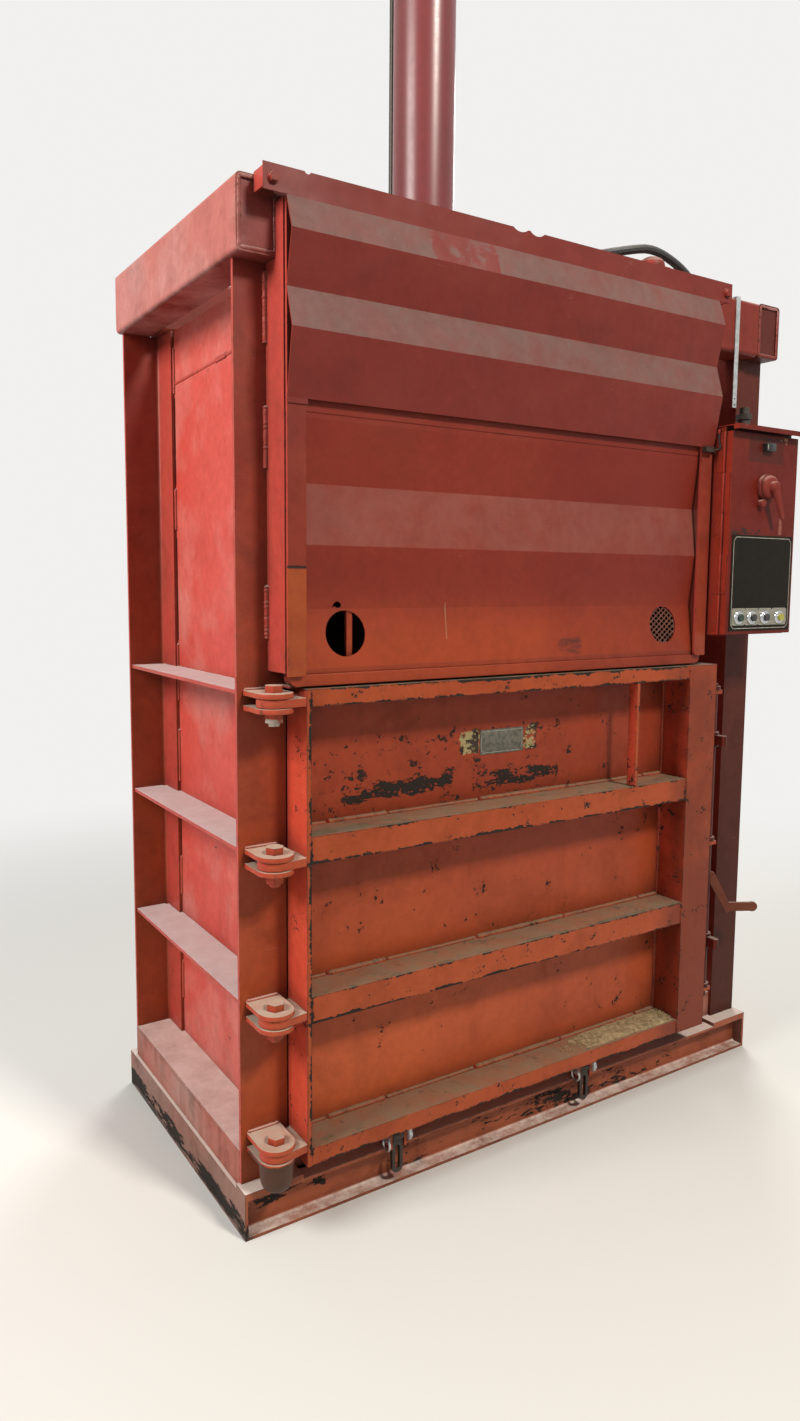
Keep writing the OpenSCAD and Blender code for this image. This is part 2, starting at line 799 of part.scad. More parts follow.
// Two ears for each hinge, and a round cup under the lowest one
module hinge_ears() {
    collar_top = low_ear_z(low_hinge_z) - ear_t;
    color("firebrick") {
        for (z = hinge_tops) {
            post_ear(z);
            post_ear(low_ear_z(z));
        }
        translate([hinge_x, hinge_y, collar_top - 66]) rotate_extrude()
            polygon([[pin_r + pin_fit, 0], [24, 0], [30, 3], [35, 10], [38.5, 22], [40, 40], [41, 66],
                [pin_r + pin_fit, 66]]);
    }
}

// A bolt with a hexagon head through each hinge, with a nut below the upper three
module hinge_bolts() {
    color("sienna") for (i = [0:3]) {
        low = low_ear_z(hinge_tops[i]) - ear_t;
        end = i < 3 ? low - 30 : low - 64;
        translate([hinge_x, hinge_y, end]) cylinder(r = pin_r, h = hinge_tops[i] - end);
        translate([hinge_x, hinge_y, hinge_tops[i]]) hexagon(38, 16);
        if (i < 3) translate([hinge_x, hinge_y, low - 22]) hexagon(38, 22);
    }
}

// The cylinder: a bored tube closed by a cap with a port at its back
module barrel() {
    color("red") translate([chamber_x, ram_y, 0]) difference() {
        union() {
            translate([0, 0, head_top]) cylinder(r = barrel_r, h = barrel_top + cap_t - head_top);
            translate([0, 0, barrel_top - 6]) cylinder(r = barrel_r + 5, h = 12);
            translate([0, cap_port_y - ram_y, cap_port_z]) rotate([90, 0, 0]) cylinder(r = 20, h = 30);
        }
        translate([0, 0, head_top - 1]) cylinder(r = bore_r, h = barrel_top - head_top + 1);
        translate([0, cap_port_y - ram_y + 1, cap_port_z]) rotate([90, 0, 0]) cylinder(r = 9, h = 60);
    }
}

// The cylinder's lower head, bolted to its plate, with a port on the right
module cylinder_head() {
    color("firebrick") difference() {
        union() {
            translate([chamber_x, ram_y, ram_plate_top]) cylinder(r = 128, h = 28);
            translate([chamber_x, ram_y, ram_plate_top]) cylinder(r = barrel_r + 5, h = head_h);
            rod_x(ram_y, port_z, 18, port_x - 32, port_x);
            for (a = [22.5:45:360])
                translate([chamber_x + 112 * cos(a), ram_y + 112 * sin(a), ram_plate_top + 28])
                    hexagon(24, 13);
        }
        translate([chamber_x, ram_y, ram_plate_top - 1]) cylinder(r = rod_r + ram_fit, h = head_h + 2);
    }
}

// The steel pipe from the cylinder's top port, down its back and across to the power unit
module feed_pipe() {
    color("dimgray") swept(thinned(rounded(pipe_route, 45), 4), 9, 12);
}

// The hose from the cylinder's lower head, over the front header and down the bay
module pressure_hose() {
    color("black") swept(thinned(rounded(hose_route, 60), 9), hose_r, 10);
}

// Three plates on the jamb post carry the latch shaft
module latch_bearings() {
    color("firebrick") for (z = bearing_zs)
        difference() {
            block([door_right + 7, latch_x + 22], [latch_y - 20, front_y], [z - bearing_t, z]);
            translate([latch_x, latch_y, z - bearing_t - 1])
                cylinder(r = latch_r + pin_fit, h = bearing_t + 2);
        }
}

// Upright shaft with a collar on each bearing and two dogs, which point forwards when released
module latch_shaft() {
    color("firebrick") {
        translate([latch_x, latch_y, latch_bottom]) cylinder(r = latch_r, h = latch_top - latch_bottom);
        for (z = bearing_zs)
            translate([latch_x, latch_y, z + seat_gap]) cylinder(r = latch_r + 7, h = 12);
        for (z = dog_zs) {
            translate([latch_x, latch_y, z - 8]) cylinder(r = latch_r + 8, h = 46);
            translate([latch_x - 10, latch_y - dog_reach + 10, z]) cube([20, dog_reach - 20, 30]);
            translate([latch_x, latch_y - dog_reach + 10, z]) cylinder(r = 10, h = 30);
        }
    }
}

// Bent flat lever welded to the shaft: a slope down, then a level grip with a round end
module latch_lever() {
    h = lever_h;
    tip = 157;
    color("firebrick") translate([latch_x, latch_y, lower_rail_z - 22]) rotate([0, 0, -30]) difference() {
        plate_xz(-lever_t / 2, lever_t) {
            polygon([[latch_r - 3, 107], [72, 0], [84, 8], [tip, 8], [tip, 8 + h], [80, 8 + h],
                [28, 107 + h], [latch_r - 3, 111 + h]]);
            translate([tip, 8 + h / 2]) circle(h / 2 + 1.5);
        }
        cylinder(r = latch_r, h = 200);
    }
}

// The control box: a sheet-metal case with a front flange, hinge knuckles and a cable nipple
module control_box() {
    x1 = box_x + box_w;
    t = box_sheet;
    color("firebrick") {
        difference() {
            union() {
                block([box_x, x1], [box_front, box_front + 44], [box_z, box_top]);
                block([box_x + t, x1 - t], [box_front + 40, front_y], [box_z + t, box_top - t]);
            }
            block([box_x + 2 * t, x1 - 2 * t], [box_front + t, front_y - t],
                [box_z + 2 * t, box_top - 2 * t]);
            block([box_x + 18, x1 - 18], [box_front - 1, box_front + t + 1], [lid_z + 15, lid_top - 15]);
        }
        for (i = [0, 2, 4]) knuckle(i);
        translate([box_x - 5, nipple_y, nipple_z - 8]) cylinder(r = 4.5, h = 13);
        block([box_x - 5, box_x + 1], [nipple_y - 4.5, nipple_y + 4.5], [nipple_z - 8, nipple_z + 5]);
    }
    color("silver") translate([lid_axis_x, box_front, lid_z]) cylinder(r = 2, h = lid_top - lid_z);
}

// One of five lengths of the continuous hinge down the box's left side
knuckle_h = (lid_top - lid_z) / 5;
module knuckle(i) {
    z = lid_z + i * knuckle_h + 0.5;
    on_box = i % 2 == 0;
    difference() {
        union() {
            translate([lid_axis_x, box_front, z]) cylinder(r = knuckle_r, h = knuckle_h - 1);
            block([lid_axis_x + knuckle_r - 1.5, box_x + 0.5],
                on_box ? [box_front, box_front + 28] : [box_front - 20, box_front], [z, z + knuckle_h - 1]);
        }
        translate([lid_axis_x, box_front, z - 1]) cylinder(r = on_box ? 2 : 2 + pin_fit, h = knuckle_h + 1);
    }
}

// The lid: a tray with turned edges, with holes for the controls
module box_lid() {
    x1 = box_x + box_w;
    t = box_sheet;
    color("firebrick") {
        difference() {
            block([box_x, x1], [lid_front, lid_back], [lid_z, lid_top]);
            block([box_x + t, x1 - t], [lid_front + t, lid_back + 1], [lid_z + t, lid_top - t]);
            for (x = button_xs)
                rod_y(box_x + x, button_z, button_r + seat_gap, lid_front - 1, lid_front + t + 1);
            rod_y(hub_x, hub_z, 14, lid_front - 1, lid_front + t + 1);
        }
        for (i = [1, 3]) knuckle(i);
    }
}

// A folded sheet over the box that sheds dust and drips past the lid
module drip_cover() {
    x0 = box_x - 4;
    x1 = box_x + box_w + 4;
    y0 = lid_front - 25;
    t = box_sheet;
    color("firebrick") {
        block([x0, x1], [y0, front_y], [box_top, box_top + t]);
        block([x0, x1], [y0, y0 + t], [box_top - 11, box_top]);
        block([x0, x0 + t], [y0, lid_front - 4], [box_top - 11, box_top]);
        block([x1 - t, x1], [y0, lid_front - 4], [box_top - 11, box_top]);
    }
}

// The fitting on the box through which the supply enters
module conduit_connector() {
    z = box_top + box_sheet;
    color("black") translate([box_x + 170, front_y - 62, 0]) {
        translate([0, 0, z]) hexagon(46, 14);
        translate([0, 0, z + 14]) cylinder(r = 18, h = 26);
        translate([0, 0, z + 40]) hexagon(42, 16);
        translate([0, 0, z + 56]) cylinder(r = 14, h = 20);
    }
}

// Thin plate on the lid, with a hole round each push button's ring
module instruction_plate() {
    color("black") difference() {
        block([box_x + 14, box_x + box_w - 8], [lid_front - 2, lid_front],
            [box_z + 13, box_z + 0.488 * box_h]);
        for (x = button_xs) rod_y(box_x + x, button_z, ring_r + seat_gap, lid_front - 3, lid_front + 1);
    }
}

// Fixed fittings on the lid: button rings, contact blocks, disconnect base, padlock boss, run meter
module lid_fittings() {
    color("silver") for (x = button_xs) difference() {
        rod_y(box_x + x, button_z, ring_r, ring_front, lid_front);
        rod_y(box_x + x, button_z, button_r + seat_gap, ring_front - 1, lid_front + 1);
    }
    color("dimgray") for (x = button_xs) difference() {
        block([box_x + x - 14, box_x + x + 14], [lid_front + box_sheet, lid_front + 38],
            [button_z - 20, button_z + 20]);
        rod_y(box_x + x, button_z, button_r + seat_gap, lid_front, lid_front + 26);
    }
    color("black") {
        difference() {
            rod_y(hub_x, hub_z, 38, lid_front - 10, lid_front);
            rod_y(hub_x, hub_z, 8 + pin_fit, lid_front - 11, lid_front + 1);
        }
        difference() {
            block([hub_x - 40, hub_x + 40], [lid_front + box_sheet, lid_front + 70],
                [hub_z - 45, hub_z + 45]);
            rod_y(hub_x, hub_z, 14, lid_front, lid_front + 14);
        }
        rod_y(hub_x - 24, hub_z - 48, 11, lid_front - 16, lid_front);
        plate_xz(lid_front - 14, 14) translate([hub_x - 20, hub_z + 105]) round_rect(44, 24, 5);
    }
}

// The disconnect's round hub and its grip, which points down to the right at rest
module disconnect_handle() {
    color("black") {
        rod_y(hub_x, hub_z, 8, lid_front - 11, lid_front - 1);
        rod_y(hub_x, hub_z, 34, lid_front - 30, lid_front - 10 - seat_gap);
        translate([hub_x, lid_front - 30, hub_z]) rotate([0, 50, 0]) {
            translate([0, -12, -12]) cube([122, 12, 24]);
            translate([122, 0, 0]) rotate([90, 0, 0]) cylinder(r = 12, h = 12);
        }
    }
}

// A push button: cap and plunger
module button(i, c) {
    color(c)
        rod_y(box_x + button_xs[i], button_z, button_r, ring_front - button_travel - 1, lid_front + 20);
}

module button_1() {
    button(0, "darkgreen");
}

module button_2() {
    button(1, "black");
}

module button_3() {
    button(2, "maroon");
}

module button_4() {
    button(3, "gold");
}

// Flat bar bent over the header, with two holes at its lower end
module strap() {
    x0 = door_right + 80;
    color("silver") difference() {
        union() {
            block([x0, x0 + 18], [beam_front - 3, beam_front], [beam_top - 323, beam_top + 3]);
            block([x0, x0 + 18], [beam_front - 3, beam_front + 36], [beam_top, beam_top + 3]);
        }
        for (z = [8, 26]) rod_y(x0 + 9, beam_top - 323 + z, 3, beam_front - 4, beam_front + 1);
    }
}

// The switch that senses the gate, on the hood's right tab
module gate_switch() {
    color("dimgray") block([switch_x - 36, switch_x], [switch_y - 7, switch_y + 7],
        [hood_bottom - 14, hood_bottom]);
}

module switch_cable() {
    color("black") swept(rounded(cable_route, 6), 2.5, 8);
}

// The oil tank with its lid and filler cap
module reservoir() {
    color("firebrick") {
        block([tank_x0, tank_x1], [tank_y0, tank_y1], [floor_z, tank_top]);
        block([tank_x0 - 5, tank_x1 + 5], [tank_y0 - 5, tank_y1 + 5], [tank_top, tank_top + 8]);
        translate([tank_x - 60, tank_y0 + 190, tank_top + 8]) cylinder(r = 26, h = 34);
    }
}

// Motor with cooling ribs and a fan cowl, and the valve block with its two ports
module power_pack() {
    z = tank_top + 8;
    color("dimgray") translate([tank_x, motor_y, z]) {
        cylinder(r = motor_r + 8, h = 24);
        translate([0, 0, 24]) cylinder(r = motor_r - 10, h = motor_h - 28);
        for (i = [0:9]) translate([0, 0, 34 + i * (motor_h - 98) / 10]) cylinder(r = motor_r, h = 7);
        translate([0, 0, motor_h - 52]) cylinder(r = motor_r, h = 52);
        translate([-30, -motor_r - 24, 90]) cube([60, 50, 80]);
    }
    color("gray") {
        block([valve_x - 60, valve_x + 40], [valve_y - 50, valve_y + 50], [z, valve_top]);
        translate([valve_x, valve_y, valve_top]) cylinder(r = 15, h = port_h);
        translate([valve_x - 40, valve_y + 40, valve_top]) cylinder(r = 13, h = port_h);
    }
}

// Domed accumulator cap with two fittings, on the front header
module line_manifold() {
    color("firebrick") translate([dome_x, beam_front + 44, beam_top]) {
        translate([-42, -30, 0]) cube([84, 60, 14]);
        rotate_extrude()
            polygon([[0, 14], [38, 14], [38, 44], [36, 52], [30, 60], [20, 66], [8, 69], [0, 69]]);
    }
    color("silver") rod_x(beam_front + 44, beam_top + 45, 9, dome_x + 34, dome_x + 72);
}

// Lugs on the base's front, each with a bright cross pin and a winged nut
module tie_brackets() {
    for (x = tie_xs) {
        color("firebrick") difference() {
            for (side = [-1, 1])
                translate([x + side * 22 - 4, 0, 0]) {
                    block([0, 8], [tie_y - 9, -base_y + 24], [base_h, base_h + 40]);
                }
            rod_x(tie_y, tie_z, tie_pin_r, x - 40, x + 40);
        }
        color("silver") {
            rod_x(tie_y, tie_z, tie_pin_r, x - 34, x + 34);
            translate([x + 26, tie_y, tie_z]) rotate([0, 90, 0]) hexagon(20, 8);
            translate([x - 34, tie_y, tie_z]) rotate([0, 90, 0]) hexagon(20, 8);
        }
    }
}

// A long link that hangs from the pin by a bored knuckle
module tie_link(x) {
    color("dimgray") difference() {
        union() {
            rod_x(tie_y, tie_z, tie_pin_r + 5, x - 16, x + 16);
            plate_xz(tie_y - 5, 10) difference() {
                translate([x - 16, tie_z - 96]) round_rect(32, 92, 15);
                translate([x - 7, tie_z - 87]) round_rect(14, 66, 6.9);
            }
        }
        rod_x(tie_y, tie_z, tie_pin_r + pin_fit, x - 20, x + 20);
    }
}

module tie_link_left() {
    tie_link(tie_xs[0]);
}

module tie_link_right() {
    tie_link(tie_xs[1]);
}

// A channel-shaped rail of the door, open towards the panel behind it
module door_rail(z0, z1) {
    difference() {
        block([stile_in_left, stile_in_right], [door_front + rail_recess, front_y], [z0, z1]);
        block([stile_in_left - 1, stile_in_right + 1], [door_front + rail_recess + rail_t, front_y + 1],
            [z0 + rail_t, z1 - rail_t]);
    }
}

// The door's welded frame: a flat bar at the hinges, a hollow stile, four rails, a grab bar, keepers
module door_frame() {
    back = front_y - 0.5;
    grab_x = stile_in_right - grab_gap;
    color("orangered") {
        block([door_left, stile_in_left], [door_front, front_y], [door_bottom, door_top]);
        difference() {
            block([stile_in_right, door_right], [door_front, back], [door_bottom, door_top]);
            block([stile_in_right + rail_t, door_right - rail_t], [door_front + rail_t, back + 1],
                [door_bottom + rail_t, door_top - rail_t]);
        }
        door_rail(door_top - top_rail_h, door_top);
        door_rail(upper_rail_z, upper_rail_z + mid_rail_h);
        door_rail(lower_rail_z, lower_rail_z + mid_rail_h);
        door_rail(door_bottom, door_bottom + bottom_rail_h);
        block([grab_x - grab_w / 2, grab_x + grab_w / 2], [door_front, door_front + grab_d],
            [upper_rail_z + mid_rail_h, door_top - top_rail_h]);
        for (z = dog_zs)
            block([door_right, door_right + 30], [latch_y + 18, back - 2], [z - 20, z + 50]);
    }
}

module door_panel() {
    color("orangered") block([door_left + 3, right_wall - 16], [front_y, front_y + door_panel_t],
        [door_bottom + 6, door_top - 6]);
}

// Thick ears on the door between the post's ears
module door_hinge_ears() {
    color("orangered") for (z = hinge_tops)
        translate([0, 0, door_ear_z(z) - door_ear_t]) linear_extrude(door_ear_t) difference() {
            union() {
                translate([hinge_x, hinge_y]) circle(40);
                polygon([[hinge_x, hinge_y - 40], [door_left, door_front], [door_left, front_y - 6],
                    [hinge_x, hinge_y + 40]]);
            }
            translate([hinge_x, hinge_y]) circle(pin_r + pin_fit);
        }
}

// The gate's frame: side and end bars with round lower corners, two uprights behind the sheet
module gate_frame() {
    corner_r = 20;
    w = gate_right - gate_left;
    color("indianred") {
        plate_xz(gate_front, gate_t) difference() {
            union() {
                translate([gate_left, gate_bottom + corner_r]) square([w, gate_h - corner_r]);
                translate([gate_left + corner_r, gate_bottom]) square([w - 2 * corner_r, corner_r + 1]);
                for (x = [gate_left + corner_r, gate_right - corner_r])
                    translate([x, gate_bottom + corner_r]) circle(corner_r);
            }
            translate([gate_left + gate_bar_w, gate_bottom + gate_low_bar_h])
                square([w - 2 * gate_bar_w, gate_h - gate_low_bar_h - 30]);
        }
        for (x = [gate_left + 158, chamber_x])
            block([x, x + 16], [gate_front + 2 + sheet_t + gate_pleat, gate_back],
                [gate_bottom + gate_low_bar_h - 1, gate_top - 29]);
    }
}

// Front line of the gate's pleats, from the lower bar up, as Y and Z
function gate_line() =
    let (
        z0 = gate_bottom + gate_low_bar_h,
        h = gate_top - 30 - z0,
        y = gate_front + 2
    )
    [[y + 3 + sheet_t, z0], [y + sheet_t, z0 + 0.0225 * h], [y + gate_pleat + sheet_t, z0 + 0.2535 * h],
        [y + sheet_t, z0 + 0.5 * h], [y + gate_pleat + sheet_t, z0 + 0.736 * h],
        [y + sheet_t, z0 + 0.979 * h], [y + sheet_t, z0 + h]];

// Heights and places of the two view holes
view_z = gate_bottom + 117;
view_xs = [gate_left + 150, gate_right - 153];

// The pleated sheet, with a jagged hole torn above the left view hole
module gate_sheet() {
    color("indianred") difference() {
        pleated_sheet(gate_line(), gate_left + gate_bar_w, gate_right - gate_bar_w);
        for (x = view_xs) rod_y(x, view_z, view_r, gate_front - 1, gate_back + 1);
        translate([view_xs[0] - 21, 0, view_z + view_r + 13]) plate_xz(gate_front - 1, gate_t)
            polygon([[-12, -6], [-5, -3], [2, -7], [10, -5], [12, 1], [7, 7], [-1, 8], [-8, 4]]);
    }
}

// Expanded metal behind the right view hole, lying on the back of its pleat
module gate_mesh() {
    line = gate_line();
    slope = atan((line[2][0] - line[1][0]) / (line[2][1] - line[1][1]));
    half = view_r + 12;
    long = 22;
    short = 10;
    color("dimgray") translate([view_xs[1], line[1][0], line[1][1]]) rotate([-slope, 0, 0])
        translate([0, 0, view_z - line[1][1] + 3])
        plate_xz(0, 2) difference() {
            square([2 * half, 2 * half - 14], center = true);
            for (i = [-3:3], j = [-6:6])
                if (abs(i * long + (j % 2 == 0 ? 0 : long / 2)) < half - 10
                    && abs(j * short / 2 * 1.6) < half - 14)
                    translate([i * long + (j % 2 == 0 ? 0 : long / 2), j * short * 0.8])
                        polygon([[-long / 2 + 2.4, 0], [0, -short * 0.8 + 1.3], [long / 2 - 2.4, 0],
                            [0, short * 0.8 - 1.3]]);
        }
}

// Rod and piston of the ram
module ram_rod() {
    color("silver") translate([chamber_x, ram_y, 0]) {
        translate([0, 0, rod_bottom]) cylinder(r = rod_r, h = piston_z - rod_bottom + 1);
        translate([0, 0, piston_z]) cylinder(r = bore_r - ram_fit, h = piston_h);
    }
}

// The platen: a plate with grooves for the bale ties, a grid of ribs and the rod's socket
module platen() {
    x0 = left_wall + wall_t + platen_gap;
    x1 = right_wall - wall_t - platen_gap;
    y0 = wall_front + 8;
    y1 = wall_rear - 8;
    side_bay = 0.155 * (x1 - x0);
    groove_pitch = 0.178 * (x1 - x0);
    rib_z = [platen_z + platen_t, platen_z + platen_t + platen_rib_h];
    color("firebrick") difference() {
        union() {
            block([x0, x1], [y0, y1], [platen_z, platen_z + platen_t]);
            for (x = [x0, x0 + side_bay, x1 - side_bay - 10, x1 - 10, chamber_x - rod_r - 25,
                chamber_x + rod_r + 15])
                block([x, x + 10], [y0, y1], rib_z);
            for (y = [y0, ram_y - 5, y1 - 10]) block([x0, x1], [y, y + 10], rib_z);
            translate([chamber_x, ram_y, rib_z[0] - 1])
                cylinder(r = rod_r + 17.5, h = socket_top - rib_z[0] + 1);
        }
        translate([chamber_x, ram_y, rod_bottom]) cylinder(r = rod_r + ram_fit, h = socket_top);
        for (i = [-2, -1, 1, 2])
            block([chamber_x + i * groove_pitch - 10, chamber_x + i * groove_pitch + 10], [y0 - 1, y1 + 1],
                [platen_z - 1, platen_z + 9]);
    }
}

base_frame();
step_frame();
floor_plate();
post_front_left();
post_rear_left();
post_front_right();
post_rear_right();
jamb_post_front();
jamb_post_rear();
wall_left();
wall_right();
wall_back();
shelves();
side_beam_left();
side_beam_right();
header_front();
header_rear();
cylinder_mount();
gate_guide_left();
gate_guide_right();
hood();
hood_fixings();
hinge_ears();
hinge_bolts();
barrel();
cylinder_head();
feed_pipe();
latch_bearings();
control_box();
drip_cover();
conduit_connector();
strap();
gate_switch();
switch_cable();
reservoir();
power_pack();
pressure_hose();
line_manifold();
tie_brackets();
door_frame();
door_panel();
door_hinge_ears();
gate_frame();
gate_sheet();
gate_mesh();
ram_rod();
platen();
latch_shaft();
latch_lever();
box_lid();
instruction_plate();
lid_fittings();
disconnect_handle();
button_1();
button_2();
button_3();
button_4();
tie_link_left();
tie_link_right();
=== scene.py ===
import math
import random

import bmesh
import bpy
from mathutils import Euler, Matrix, Vector, noise


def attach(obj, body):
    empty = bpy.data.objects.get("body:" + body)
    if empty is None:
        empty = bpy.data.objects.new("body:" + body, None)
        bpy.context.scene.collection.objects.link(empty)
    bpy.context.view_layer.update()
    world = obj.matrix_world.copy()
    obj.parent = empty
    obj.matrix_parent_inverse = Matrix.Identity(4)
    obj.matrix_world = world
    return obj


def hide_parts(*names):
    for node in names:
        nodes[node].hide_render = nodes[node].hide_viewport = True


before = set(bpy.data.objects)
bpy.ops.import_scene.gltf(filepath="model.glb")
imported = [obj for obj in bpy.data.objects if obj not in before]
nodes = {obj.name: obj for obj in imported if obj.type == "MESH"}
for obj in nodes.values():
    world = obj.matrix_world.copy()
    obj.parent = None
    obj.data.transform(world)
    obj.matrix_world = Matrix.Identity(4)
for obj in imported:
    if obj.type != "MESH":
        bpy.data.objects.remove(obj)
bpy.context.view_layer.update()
chance = random.Random(7)
print("frame loaded")


def linear(code):
    # sRGB hex to a linear colour with alpha
    parts = [int(code[i:i + 2], 16) / 255 for i in (0, 2, 4)]
    return tuple(c / 12.92 if c <= 0.04045 else ((c + 0.055) / 1.055) ** 2.4 for c in parts) + (1.0,)


def addObject(name, data):
    made = bpy.data.objects.new(name, data)
    bpy.context.scene.collection.objects.link(made)
    return made


def addNode(tree, kind, inputs=None, **settings):
    node = tree.nodes.new("ShaderNode" + kind)
    for key, value in settings.items():
        setattr(node, key, value)
    for key, value in (inputs or {}).items():
        if isinstance(value, bpy.types.NodeSocket):
            tree.links.new(value, node.inputs[key])
        else:
            node.inputs[key].default_value = value
    return node


# Camera: 24 mm lens on a 36 mm frame, standing left of the machine at eye height
cameraLook = {"place": (-1.770, -2.369, 1.550), "yaw": 32.56, "down": 5.84, "roll": 0.36, "lens": 24.17,
              "shift": (0.0103, -0.0220)}


def placeCamera(look):
    yaw, down, roll = (math.radians(look[k]) for k in ("yaw", "down", "roll"))
    ahead = Vector((math.sin(yaw) * math.cos(down), math.cos(yaw) * math.cos(down), -math.sin(down)))
    right = Vector((math.cos(yaw), -math.sin(yaw), 0))
    up = right.cross(ahead)
    across = right * math.cos(roll) + up * math.sin(roll)
    over = up * math.cos(roll) - right * math.sin(roll)
    camera = addObject("camera", bpy.data.cameras.new("camera"))
    camera.data.sensor_width = 36
    camera.data.lens = look["lens"]
    camera.data.shift_x, camera.data.shift_y = look["shift"]
    turn = Matrix((across, over, -ahead)).transposed().to_4x4()
    camera.matrix_world = Matrix.Translation(look["place"]) @ turn
    bpy.context.scene.camera = camera


placeCamera(cameraLook)

# Soft studio light, a little stronger from the left: place, aim, size in metres, power in watts, tint
lampPlan = {
    "keyLamp": ((-4.8, -0.5, 4.4), (-0.2, 0, 1.3), 2.2, 280, "FFFDF8"),
    "frontLamp": ((0.7, -4.9, 6.0), (0, 0, 1.0), 1.0, 400, "FFF9EE"),
    "topLamp": ((0.4, 1.2, 6.5), (0, 0, 2.0), 4.0, 100, "F4F8FF"),
    "backLamp": ((4.2, 4.4, 4.6), (0, 0, 1.2), 2.6, 260, "FFFDF8"),
}
# The floor keeps its own tone up to the first radius and has the backdrop's from the second
studioLook = {"soft": "E9ECEF", "strength": 0.13, "backdrop": "F1F0EE", "floor": "D6D5D1", "floorRough": 0.7,
              "blend": (1.6, 4.4), "floorSize": 30}


def newMaterial(name):
    material = bpy.data.materials.new(name)
    material.use_nodes = True
    tree = material.node_tree
    return material, tree, tree.nodes["Principled BSDF"]


def seenDirectly(tree):
    # 1 for rays from the camera, from a reflection or through glass, 0 for rays that carry light
    path = addNode(tree, "LightPath")
    seen = addNode(tree, "Math", {0: path.outputs["Is Camera Ray"], 1: path.outputs["Is Glossy Ray"]},
                   operation="MAXIMUM").outputs[0]
    return addNode(tree, "Math", {0: seen, 1: path.outputs["Is Transmission Ray"]},
                   operation="MAXIMUM").outputs[0]


def lightStudio(plan, look):
    for name, (place, aim, size, power, tint) in plan.items():
        light = bpy.data.lights.new(name, "AREA")
        light.size = size
        light.energy = power
        light.color = linear(tint)[:3]
        holder = addObject(name, light)
        holder.location = place
        holder.rotation_euler = (Vector(aim) - Vector(place)).to_track_quat("-Z", "Y").to_euler()
    world = bpy.data.worlds.new("studio")
    bpy.context.scene.world = world
    world.use_nodes = True
    tree = world.node_tree
    soft = tree.nodes["Background"]
    soft.inputs[0].default_value = linear(look["soft"])
    soft.inputs[1].default_value = look["strength"]
    pale = addNode(tree, "Background", {0: linear(look["backdrop"]), 1: 1.0})
    mixed = addNode(tree, "MixShader", {0: seenDirectly(tree), 1: soft.outputs[0], 2: pale.outputs[0]})
    tree.links.new(mixed.outputs[0], tree.nodes["World Output"].inputs[0])


lightStudio(lampPlan, studioLook)
bpy.context.scene.view_settings.view_transform = "Standard"


def layFloor(look):
    shape = bmesh.new()
    bmesh.ops.create_grid(shape, x_segments=1, y_segments=1, size=look["floorSize"])
    mesh = bpy.data.meshes.new("floor")
    shape.to_mesh(mesh)
    shape.free()
    floor = addObject("floor", mesh)
    material, tree, surface = newMaterial("paleStudioFloor")
    surface.inputs["Roughness"].default_value = look["floorRough"]
    surface.inputs["Base Color"].default_value = linear(look["floor"])
    # far off the floor turns to the backdrop's own tone, so that no horizon shows
    where = addNode(tree, "TexCoord").outputs["Object"]
    reach = addNode(tree, "VectorMath", {0: where}, operation="LENGTH").outputs["Value"]
    far = addNode(tree, "MapRange", {0: reach, 1: look["blend"][0], 2: look["blend"][1]},
                  interpolation_type="SMOOTHSTEP").outputs[0]
    seen = addNode(tree, "Math", {0: seenDirectly(tree), 1: far}, operation="MULTIPLY").outputs[0]
    pale = addNode(tree, "Emission", {0: linear(look["backdrop"]), 1: 1.0})
    mixed = addNode(tree, "MixShader", {0: seen, 1: surface.outputs[0], 2: pale.outputs[0]})
    tree.links.new(mixed.outputs[0], tree.nodes["Material Output"].inputs[0])
    mesh.materials.append(material)


layFloor(studioLook)
print("camera, lamps and floor in place")


def zoneMask(tree, where, zone):
    # 1 inside a box of the part, falling to 0 over its soft margin
    low, high = Vector(zone["low"]), Vector(zone["high"])
    offset = addNode(tree, "VectorMath", {0: where, 1: (low + high) / 2}, operation="SUBTRACT").outputs[0]
    away = addNode(tree, "VectorMath", {0: offset}, operation="ABSOLUTE").outputs[0]
    beyond = addNode(tree, "VectorMath", {0: away, 1: (high - low) / 2}, operation="SUBTRACT").outputs[0]
    outside = addNode(tree, "VectorMath", {0: beyond, 1: (0, 0, 0)}, operation="MAXIMUM").outputs[0]
    distance = addNode(tree, "VectorMath", {0: outside}, operation="LENGTH").outputs["Value"]
    return addNode(tree, "MapRange", {0: distance, 1: 0.0, 2: zone["soft"], 3: 1.0, 4: 0.0},
                   interpolation_type="SMOOTHSTEP").outputs[0]


